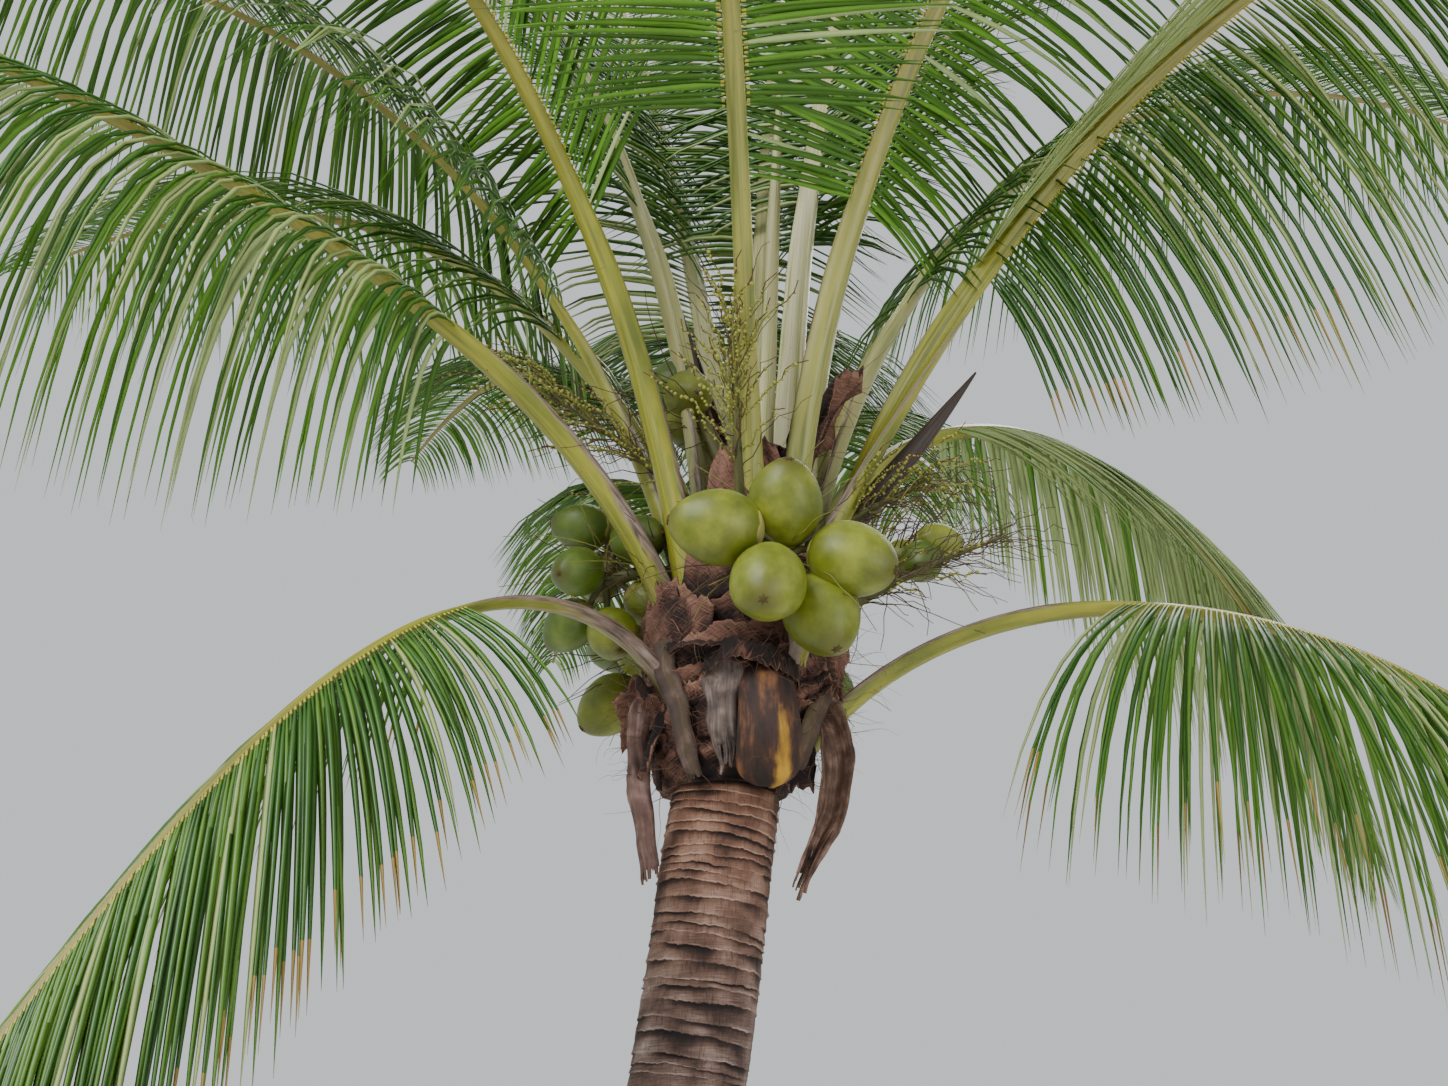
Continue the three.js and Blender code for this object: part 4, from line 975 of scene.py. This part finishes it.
def frontBasePiece():
    points, cloth, stripes = [], [], []
    rows, columns = frontBase["rows"], frontBase["columns"]
    for i in range(rows):
        t = i / (rows - 1)
        at = alongCurve(frontBase["points"], t)
        head = curveHeading(frontBase["points"], t)
        side = (Vector((1, 0, 0)) - head * head.x).normalized()
        over = head.cross(side)
        end = math.sqrt(max(0.02, 1 - max(0, (t - 0.84) / 0.16) ** 2.2))
        wide = sampled(frontBase["widths"], t) / 2 * end
        deep = sampled(frontBase["depths"], t) * end
        for j in range(columns):
            a = 2 * math.pi * j / columns
            x, y = math.cos(a) * wide, math.sin(a) * deep * (1 if math.sin(a) > 0 else 0.5)
            # a soft keel runs down the right half
            y += frontBase["keel"] * math.exp(-((x / wide - 0.3) / 0.22) ** 2) * (math.sin(a) > 0)
            points.append(crumpled(at + side * x + over * y, frontBase["crumple"], 50))
            cloth.append((a * 0.06, t * 0.28, 0))
            stripe = math.exp(-((x / wide - frontBase["stripe"]) / (0.08 + 0.3 * t * t)) ** 2)
            stripes.append(stripe * smoothStep(0.4, 0.75, t) * (math.sin(a) > 0))
    piece = makeObject("front_base_rotted", points, ringFaces(rows, columns), [baseMaterial()])
    addValues(piece, "cloth", cloth)
    addValues(piece, "stripe", stripes)
    seatPiece(piece, "dry_strap", "front_base")


sheathObject = sheathPiece(fibreMaterial())
for seed, row in enumerate(straps):
    strapPiece(row, seed)
frontBasePiece()
print("sheath and straps")


# Loose strands: thin curled fibres that stand out of the torn sheath.
def strandTree(material):
    tree, add, given = newTree("strands", {"Density": 260.0, "Steps": 9, "Length": 0.13, "Radius": 0.0009,
                                           "Curl": 0.9, "Seed": 3})
    roots = add("DistributePointsOnFaces", given["Geometry"], Density=given["Density"], Seed=given["Seed"])
    wild = add("RandomValue", (-1, -1, -0.8), (1, 1, 1), Seed=given["Seed"], data_type="FLOAT_VECTOR")
    outward = add("VectorMath", roots.outputs["Normal"], wild, operation="ADD")
    start = add("VectorMath", outward, operation="NORMALIZE")
    length = add("RandomValue", 0.35, 1.5, Seed=7, data_type="FLOAT")
    points = roots
    for name, value, kind in (("start", start, "FLOAT_VECTOR"), ("strand", add("InputIndex"), "INT"),
                              ("span", length, "FLOAT")):
        points = add("StoreNamedAttribute", points, Name=name, Value=value, data_type=kind)
    copies = add("DuplicateElements", points, Amount=given["Steps"], domain="POINT")
    count = copies.outputs["Duplicate Index"]
    strand = add("InputNamedAttribute", "strand", data_type="INT")
    way = add("InputNamedAttribute", "start", data_type="FLOAT_VECTOR")
    span, thickness = (add("InputNamedAttribute", name, data_type="FLOAT") for name in ("span", "thick"))
    along = add("Math", count, given["Steps"], operation="DIVIDE")
    # every strand bends along its own slow noise, more towards its end
    wander = add("TexNoise", add("CombineXYZ", X=strand, Y=along), Scale=1.7, Detail=1)
    centred = add("VectorMath", wander.outputs["Color"], (0.5, 0.5, 0.56), operation="SUBTRACT")
    bending = add("Math", along, given["Curl"], operation="MULTIPLY")
    strong = add("Math", bending, 6.0, operation="MULTIPLY")
    bend = add("VectorMath", centred, strong, operation="SCALE")
    ahead = add("VectorMath", add("VectorMath", way, bend, operation="ADD"), operation="NORMALIZE")
    later = add("Math", count, 0.5, operation="GREATER_THAN")
    whole = add("Math", span, given["Length"], operation="MULTIPLY")
    part = add("Math", whole, given["Steps"], operation="DIVIDE")
    stride = add("Math", part, later, operation="MULTIPLY")
    step = add("VectorMath", ahead, stride, operation="SCALE")
    tapered = add("Math", 1.1, along, operation="SUBTRACT")
    thick = add("Math", tapered, given["Radius"], operation="MULTIPLY")
    curves = strung(add, copies, (("knot", count, "INT"), ("thick", thick, "FLOAT")), step, strand)
    circle = add("CurvePrimitiveCircle", Resolution=3, Radius=1.0)
    made = add("CurveToMesh", curves, circle, Scale=thickness, Fill_Caps=True)
    made = add("SetMaterial", add("RealizeInstances", made), Material=material)
    add("GroupOutput", made)
    return tree


strandSkin = driftingMaterial("coconut sheath strand, dry fibre", "#5e4230", 0.8)
strands = addObject("sheath_strands", sheathObject.data.copy())
grow(strands, strandTree(strandSkin), {})
seatPiece(strands, "sheath_fibre", "leaf_sheath")
print("loose strands", len(strands.data.polygons))


# Twigs: every chain of edges becomes a tapering twig, with buds along those that are beaded.
stemKind, twigKind, oldKind, tipKind = range(4)
twigMaterials = [
    driftingMaterial("flower spray stem, green and fibrous", "#4f4f22", 0.6),
    driftingMaterial("flower spray branch, olive", "#736f2d", 0.6),
    driftingMaterial("old flower branch, dried brown", "#4b3826", 0.8),
    driftingMaterial("flower spray tip, red-brown", "#56301f", 0.7),
]
budMaterial = driftingMaterial("flower bud, waxy yellow-green", "#8a8c33", 0.5)


def twigTree():
    tree, add, given = newTree("twigs", {"Sides": 4, "Bud spacing": 0.011, "Bud size": 0.0036, "Seed": 1})
    kind = add("InputNamedAttribute", "kind", data_type="INT")
    radius, beaded = (add("InputNamedAttribute", name, data_type="FLOAT") for name in ("thick", "beaded"))
    lines = add("MeshToCurve", given["Geometry"])
    circle = add("CurvePrimitiveCircle", Resolution=given["Sides"], Radius=1.0)
    twigs = add("CurveToMesh", lines, circle, Scale=radius, Fill_Caps=True)
    twigs = add("SetMaterial", twigs, Material=twigMaterials[stemKind])
    for number in (twigKind, oldKind, tipKind):
        chosen = add("Compare", kind, number, data_type="INT", operation="EQUAL")
        twigs = add("SetMaterial", twigs, chosen, twigMaterials[number])
    budPoints = add("CurveToPoints", lines, Length=given["Bud spacing"], mode="LENGTH")
    shift = add("RandomValue", (-0.004,) * 3, (0.004,) * 3, Seed=given["Seed"], data_type="FLOAT_VECTOR")
    shifted = add("SetPosition", budPoints, Offset=shift)
    ball = add("MeshIcoSphere", Radius=given["Bud size"], Subdivisions=1)
    big = add("RandomValue", 0.55, 1.5, Seed=5, data_type="FLOAT")
    isBeaded = add("Math", beaded, 0.5, operation="GREATER_THAN")
    buds = add("InstanceOnPoints", shifted, isBeaded, ball, Scale=big)
    buds = add("SetMaterial", buds, Material=budMaterial)
    joined = add("JoinGeometry", twigs)
    feed(joined.inputs[0], buds)
    add("GroupOutput", add("RealizeInstances", joined))
    return tree


class Twigs:
    # gathers chains of points, each with its thickness, kind and whether it carries buds
    def __init__(self):
        self.points, self.edges, self.thick, self.kinds, self.beaded = [], [], [], [], []

    def add(self, chain, radius, tipRadius, kind, beaded=0.0, tipFrom=2.0):
        first = len(self.points)
        for k, at in enumerate(chain):
            t = k / (len(chain) - 1)
            self.points.append(at)
            self.thick.append(lerp(radius, tipRadius, t))
            self.kinds.append(tipKind if t > tipFrom else kind)
            self.beaded.append(beaded if 0.12 < t < 0.97 else 0.0)
            if k:
                self.edges.append((first + k - 1, first + k))

    def piece(self, name, tree, values):
        piece = makeObject(name, self.points, edges=self.edges)
        addValues(piece, "thick", self.thick)
        addValues(piece, "beaded", self.beaded)
        addValues(piece, "kind", self.kinds, "INT")
        grow(piece, tree, values)
        piece.data.polygons.foreach_set("use_smooth", [True] * len(piece.data.polygons))
        return piece


def bowed(root, middle, end, t):
    # a place on the bow that runs from root through middle to end
    return root * (1 - t) ** 2 + (middle * 2 - (root + end) / 2) * (2 * t * (1 - t)) + end * t * t


def wiggled(root, middle, end, count, amount, rng):
    # a bent chain from root to end that passes near middle, with small kinks
    chain = [root.copy()]
    for k in range(1, count + 1):
        kink = Vector([rng.uniform(-1, 1) for _ in range(3)]) * amount
        chain.append(bowed(root, middle, end, k / count) + kink)
    return chain


sprayKeys = ("name", "side", "depth", "foot", "rise", "fall", "length", "start", "tassel", "old")
sprays = [
    ("left", 190, 0.06, 3.3, 48, 30, 0.56, 0.35, 0.3, 0.45),
    ("centre", 264, 0.13, 3.2, 52, 76, 0.56, 0.4, 0.24, 0.25),
    ("right", 352, 0.06, 3.24, 36, 22, 0.4, 0.4, 0.24, 0.5),
    ("lower_right", 338, 0.06, 2.99, 32, 14, 0.62, 0.4, 0.22, 0.9),
]
flowerStem = {"radius": 0.015, "tipRadius": 0.005, "parts": 5}
tassel = {"count": 56, "radius": 0.0028, "tipRadius": 0.0013, "droop": 0.5, "ahead": 0.75,
          "outward": 0.82, "tipOutward": 0.3, "lower": 0.5, "upper": 0.65, "shortening": 0.25,
          "kink": 0.009}


def sprayPiece(row, tree, seed):
    rng = random.Random(seed)
    parts = flowerStem["parts"]
    stem = [around(row["side"], row["depth"], row["foot"])]
    for k in range(parts):
        slope = lerp(row["rise"], row["fall"], k / (parts - 1))
        stem.append(stem[-1] + heading(row["side"], slope) * (row["length"] / parts))
    across = heading(row["side"] + 90, 0)
    twigs = Twigs()
    twigs.add(stem, flowerStem["radius"], flowerStem["tipRadius"], stemKind)
    for k in range(tassel["count"]):
        share = row["start"] + (1 - row["start"]) * k / (tassel["count"] - 1)
        reach = share * parts * 0.98
        before, after = stem[int(reach)], stem[int(reach) + 1]
        root = before.lerp(after, reach % 1)
        along = (after - before).normalized()
        turn = math.radians(goldenAngle * k + rng.uniform(-40, 40))
        out = across * math.cos(turn) + across.cross(along) * math.sin(turn)
        outward = lerp(tassel["outward"], tassel["tipOutward"], share) * rng.uniform(0.45, 1.25)
        way = (along * tassel["ahead"] + out * outward).normalized()
        length = row["tassel"] * rng.uniform(0.5, 1.15)
        middle = root + way * (length * tassel["lower"])
        bent = (way - up * tassel["droop"] * rng.uniform(0.5, 1.1)).normalized()
        end = middle + bent * (length * (tassel["upper"] - tassel["shortening"] * share))
        chain = wiggled(root, middle, end, 9, tassel["kink"], rng)
        if rng.random() < row["old"]:
            twigs.add(chain, tassel["radius"] * 0.6, tassel["tipRadius"] * 0.6, oldKind)
        else:
            twigs.add(chain, tassel["radius"], tassel["tipRadius"], twigKind, 1.0, 0.7)
    piece = twigs.piece("flower_spray_" + row["name"], tree, {"Seed": seed})
    seatPiece(piece, "flower_spray", "flowers_" + row["name"])


twigRule = twigTree()
for seed, row in enumerate(sprays):
    sprayPiece(dict(zip(sprayKeys, row)), twigRule, seed)
print("flower sprays")


# Nuts: young green husks with three soft ridges that meet at a small scar.
nutShape = {"columns": 36, "rows": 24, "ridge": 0.045, "egg": 0.1, "point": 0.075, "calyx": 0.62,
            "scarPoints": 12, "capColumns": 36, "capRings": 5, "level": -20, "spray": 30}
bunchStem = {"depth": 0.07, "radius": 0.02, "tipRadius": 0.015, "twig": 0.01, "arch": 0.035,
             "archAt": 0.55, "hump": 0.012, "kink": 0.001, "spikes": 48, "spikeRadius": 0.0018,
             "spikeTip": 0.0008, "spikeLength": (0.16, 0.36), "spikeBow": 0.03, "spikeSag": 0.03,
             "spikeKink": 0.004}
nutKeys = ("at", "side", "rise")
frontNuts = [
    ((0.578, -0.36, 3.262), 275, 45), ((0.428, -0.405, 3.19), 190, 5), ((0.537, -0.44, 3.048), 262, -38),
    ((0.722, -0.365, 3.13), 335, -22), ((0.658, -0.32, 3.018), 300, -60),
]
bunchKeys = ("name", "side", "foot", "middle", "width", "length", "count", "spread")
bunches = [
    ("front", 280, 3.16, (0.58, -0.33, 3.145), 0.167, 0.2),
    ("left", 185, 3.19, (0.165, 0.025, 3.215), 0.118, 0.14, 7, (0.118, 0.095, 0.165)),
    ("right", 355, 3.14, (0.9, -0.07, 3.25), 0.098, 0.112, 3, (0.058, 0.05, 0.045)),
    ("upper_left", 150, 3.44, (0.345, 0.12, 3.735), 0.125, 0.145, 3, (0.04, 0.04, 0.075)),
    ("back_right", 82, 3.08, (0.56, 0.4, 3.11), 0.145, 0.175, 4, (0.128, 0.098, 0.112)),
    ("back_left", 140, 3.08, (0.235, 0.3, 3.08), 0.145, 0.175, 4, (0.108, 0.112, 0.118)),
]


def huskMaterial(name, shade, body, lit):
    # smooth satin skin, clouded over about 75 mm, flecked every 6 mm and browner round the tip
    add, done = newMaterial(name, 0.48)
    place = add("TexCoord").outputs["Object"]
    polar = add("Attribute", attribute_name="polar").outputs["Fac"]
    cloud = add("TexNoise", place, Scale=13, Detail=5, Roughness=0.6)
    speck = add("TexNoise", place, Scale=170, Detail=3)
    colour = add("ValToRGB", cloud, stops=[(0.3, shade), (0.5, body), (0.7, lit)])
    ends = add("MapRange", polar, 0.86, 1.0, 0.0, 0.75)
    colour = add("Mix", ends, colour, "#4e4a16", data_type="RGBA")
    mark = add("MapRange", speck, 0.66, 0.74, 0.0, 0.35)
    colour = add("Mix", mark, colour, "#6c6a28", data_type="RGBA")
    return done(colour, add("Bump", Strength=0.12, Distance=0.002, Height=cloud))


nutMaterials = {
    "bright": huskMaterial("coconut husk, young and bright green", "#4f590e", "#697116", "#858b2c"),
    "deep": huskMaterial("coconut husk, young and deep green", "#3d4f15", "#50651b", "#66782a"),
    "scar": driftingMaterial("coconut tip scar, corky", "#4a3818", 0.9),
    "calyx": driftingMaterial("coconut calyx, leathery", "#8a8444", 0.7),
}


def nutSkin(theta, phi, proud):
    # a place on a nut of unit radius and half length, theta from its foot and phi round it
    z = -math.cos(theta)
    share = (z + 1) / 2
    ridge = nutShape["ridge"] * max(0, math.cos(3 * phi)) ** 1.5 * (0.3 + share)
    radius = math.sin(theta) * (1 - nutShape["egg"] * z) * (0.98 + ridge) + proud * math.sin(theta)
    z += nutShape["point"] * share ** 8
    return Vector((math.cos(phi) * radius, math.sin(phi) * radius, z - proud * math.cos(theta)))


def nutPattern():
    # one nut, foot down, with its scar and its cap of bracts
    columns, rows, top = nutShape["columns"], nutShape["rows"], 1 + nutShape["point"]
    points = [nutSkin(math.pi * i / rows, 2 * math.pi * j / columns, 0)
              for i in range(1, rows) for j in range(columns)]
    faces = ringFaces(rows - 1, columns)
    kinds = [0] * len(faces)
    # the scar is a star of six short points
    first, star = len(points), nutShape["scarPoints"]
    for j in range(star):
        points.append(nutSkin(math.pi - (0.06 if j % 2 else 0.17), 2 * math.pi * j / star, 0.02))
    points += [Vector((0, 0, top + 0.03)), Vector((0, 0, 0.9))]
    for j in range(star):
        a, b = first + j, first + (j + 1) % star
        faces += [(a, b, first + star), (b, a, first + star + 1)]
        kinds += [1, 1]
    # the cap has six rounded bracts, with an outer and an inner face
    first, columns, rings = len(points), nutShape["capColumns"], nutShape["capRings"]
    levels = [(ring / (rings - 1), 0.05 - 0.035 * ring / (rings - 1)) for ring in range(rings)]
    levels += [(ring / (rings - 1), -0.02) for ring in reversed(range(rings))]
    for level, proud in levels:
        for j in range(columns):
            phi = 2 * math.pi * j / columns
            reach = nutShape["calyx"] * (0.82 + 0.18 * abs(math.cos(3 * phi)))
            points.append(nutSkin(reach * (0.15 + 0.85 * level), phi, proud))
    cap = ringFaces(len(levels), columns, first)
    pattern = makeObject("nut_pattern", points, faces + cap, [nutMaterials["bright"]])
    addValues(pattern, "polar", [(p.z + 1) / (top + 1) for p in points])
    addValues(pattern, "kind", kinds + [2] * len(cap), "INT", "FACE")
    return pattern


def nutTree(pattern):
    tree, add, given = newTree("nuts", {"Deep share": 0.5})
    shape = add("ObjectInfo", pattern).outputs["Geometry"]
    turn, big = (add("InputNamedAttribute", name, data_type="FLOAT_VECTOR") for name in ("turn", "size"))
    kind = add("InputNamedAttribute", "kind", data_type="INT")
    tone = add("InputNamedAttribute", "tone", data_type="FLOAT")
    made = add("InstanceOnPoints", given["Geometry"], Instance=shape, Rotation=turn, Scale=big)
    made = add("RealizeInstances", made)
    isDeep = add("Math", tone, given["Deep share"], operation="LESS_THAN")
    isScar, isCalyx = (add("Compare", kind, number, data_type="INT", operation="EQUAL")
                       for number in (1, 2))
    for key, chosen in (("bright", True), ("deep", isDeep), ("scar", isScar), ("calyx", isCalyx)):
        made = add("SetMaterial", made, chosen, nutMaterials[key])
    add("GroupOutput", made)
    return tree


def spiralNuts(bunch):
    nuts = []
    for k in range(bunch["count"]):
        high = 1 - 2 * (k + 0.5) / bunch["count"]
        side = bunch["side"] + goldenAngle * k
        away = heading(side, 0) * math.sqrt(1 - high * high) + up * high
        at = Vector(bunch["middle"]) + Vector([a * b for a, b in zip(away, bunch["spread"])])
        nuts.append((at, side, nutShape["spray"] * high + nutShape["level"]))
    return nuts


def bunchPieces(bunch, tree, seed):
    rng = random.Random(seed)
    inFront = bunch["name"] == "front"
    nuts = [dict(zip(nutKeys, nut)) for nut in (frontNuts if inFront else spiralNuts(bunch))]
    turns, sizes, tones = [], [], []
    foot = around(bunch["side"], bunchStem["depth"], bunch["foot"])
    middle = Vector(bunch["middle"])
    raised = foot.lerp(middle, bunchStem["archAt"]) + up * bunchStem["arch"]
    twigs = Twigs()
    chain = wiggled(foot, raised, middle, 10, bunchStem["kink"], rng)
    twigs.add(chain, bunchStem["radius"], bunchStem["tipRadius"], stemKind)
    for nut in nuts:
        head = heading(nut["side"], nut["rise"])
        turns.append((head.to_track_quat("Z", "Y") @ Quaternion(up, rng.uniform(0, 2))).to_euler())
        radius = bunch["width"] / 2 * rng.uniform(0.97, 1.03)
        sizes.append((radius, radius, bunch["length"] / 2))
        tones.append(0.9 if inFront else rng.random())
        end = Vector(nut["at"]) - head * (bunch["length"] * 0.46)
        bow = (middle + end) / 2 + up * bunchStem["hump"]
        chain = wiggled(middle, bow, end, 4, bunchStem["kink"], rng)
        twigs.add(chain, bunchStem["twig"], bunchStem["twig"] * 0.8, stemKind)
    # dry flower branches stand out round the stem
    for k in range(bunchStem["spikes"]):
        root = foot.lerp(middle, rng.uniform(0.45, 1.0)) + up * 0.02
        way = heading(bunch["side"] + rng.uniform(-100, 100), rng.uniform(-35, 65))
        long = rng.uniform(*bunchStem["spikeLength"])
        bow = root + way * (long * 0.5) + heading(rng.uniform(0, 360), 0) * bunchStem["spikeBow"]
        end = root + way * long - up * bunchStem["spikeSag"]
        chain = wiggled(root, bow, end, 7, bunchStem["spikeKink"], rng)
        kind = oldKind if k % 4 else twigKind
        twigs.add(chain, bunchStem["spikeRadius"], bunchStem["spikeTip"], kind)
    piece = makeObject("coconuts_" + bunch["name"], [nut["at"] for nut in nuts])
    for name, values in (("turn", turns), ("size", sizes), ("tone", tones)):
        addValues(piece, name, values)
    grow(piece, tree, {})
    seatPiece(piece, "nut_husk", "nuts_" + bunch["name"])
    stems = twigs.piece("nut_stems_" + bunch["name"], twigRule, {"Sides": 8, "Seed": seed})
    seatPiece(stems, "flower_spray", "nuts_" + bunch["name"])


pattern = nutPattern()
nutRule = nutTree(pattern)
for seed, row in enumerate(bunches):
    bunchPieces(dict(zip(bunchKeys, row)), nutRule, seed)
bpy.data.objects.remove(pattern)
print("nuts")


# Spathes: hard boat-shaped sheaths of old flower sprays, dark and grooved lengthwise. Each row has its
# foot, the place halfway along it, its tip and its width.
spathes = [
    ("right", (0.56, 0.04, 3.18), (0.8, 0.06, 3.45), (1.066, 0.04, 3.775), 0.08),
    ("upper_left", (0.47, 0.07, 3.42), (0.405, 0.125, 3.72), (0.315, 0.15, 4.068), 0.058),
    ("back", (0.52, 0.09, 3.25), (0.6, 0.33, 3.42), (0.64, 0.56, 3.7), 0.06),
]
spathe = {"rows": 48, "columns": 22, "open": 118, "widestAt": 0.35, "foot": 0.42, "point": 0.08,
          "flatness": 0.95, "wall": 0.0045, "groove": 0.0011}


def spatheMaterial():
    add, done = newMaterial("coconut spathe, dark grooved wood", 0.55)
    skin = add("Attribute", attribute_name="cloth").outputs["Vector"]
    # grain about 4 mm wide and 140 mm long
    grain = add("TexNoise", add("Mapping", skin, Scale=(260, 7, 1)), Scale=1, Detail=4)
    colour = add("ValToRGB", grain, stops=[(0.3, "#16100d"), (0.5, "#33251f"), (0.72, "#5b463a")])
    return done(colour, add("Bump", Strength=0.5, Distance=0.0015, Height=grain))


def spathePiece(row, material):
    name, foot, bend, tip, width = row
    foot, bend, tip = Vector(foot), Vector(bend), Vector(tip)
    middle = bend * 2 - (foot + tip) / 2
    widestAt, grid = spathe["widestAt"], []
    for i in range(spathe["rows"]):
        t = i / (spathe["rows"] - 1)
        at = bowed(foot, bend, tip, t)
        head = ((middle - foot) * (1 - t) + (tip - middle) * t).normalized()
        side = up.cross(head).normalized()
        over = side.cross(head)
        if t < widestAt:
            swell = lerp(spathe["foot"], 1, (t / widestAt) ** 2)
        else:
            swell = 1 - (1 - spathe["point"]) * ((t - widestAt) / (1 - widestAt)) ** 2
        radius = width / 2 * swell
        line = []
        for j in range(spathe["columns"]):
            s = 2 * j / (spathe["columns"] - 1) - 1
            angle = math.radians(s * spathe["open"])
            reach = radius + spathe["groove"] * math.cos(s * 40) * swell
            out = side * (math.sin(angle) * reach)
            out += over * (math.cos(angle) * reach * spathe["flatness"])
            line.append((at + out, s * 0.05, t * 0.6, 0.5))
        grid.append(line)
    shell = Shell()
    shell.addSheet(grid, spathe["wall"])
    seatPiece(shell.piece("spathe_" + name + "_boat", material), "spathe", "spathe_" + name)


# The spear: the next leaf, still folded, pleated and pale.
spear = {"foot": 3.45, "height": 1.35, "width": 0.062, "side": 40, "lean": 4, "columns": 32, "rows": 60,
         "pleat": 0.1, "twist": 1.2, "narrowing": 0.88}


def spearPiece(material):
    way = heading(spear["side"], 90 - spear["lean"])
    points, skins = [], []
    for i in range(spear["rows"]):
        t = i / (spear["rows"] - 1)
        at = axisAt(spear["foot"]) + way * (spear["height"] * 0.97 * t)
        pleat = spear["pleat"] * smoothStep(0.1, 0.3, t)
        for j in range(spear["columns"]):
            angle = 2 * math.pi * j / spear["columns"] + t * spear["twist"]
            radius = spear["width"] / 2 * (1 - spear["narrowing"] * t) * (1 + (pleat if j % 2 else -pleat))
            points.append(at + Vector((math.cos(angle), math.sin(angle), 0)) * radius)
            skins.append((angle * 0.03, t * spear["height"], 0.4))
    piece = makeObject("spear_leaf_pleated", points, ringFaces(spear["rows"], spear["columns"]), [material])
    addValues(piece, "skin", skins)
    addValues(piece, "margin", [0.0] * len(points))
    addValues(piece, "young", [0.6] * len(points))
    seatPiece(piece, "leaflet", "spear_leaf")


woodSkin = spatheMaterial()
for row in spathes:
    spathePiece(row, woodSkin)
spearPiece(stalkSkin)
print("spathes and spear")
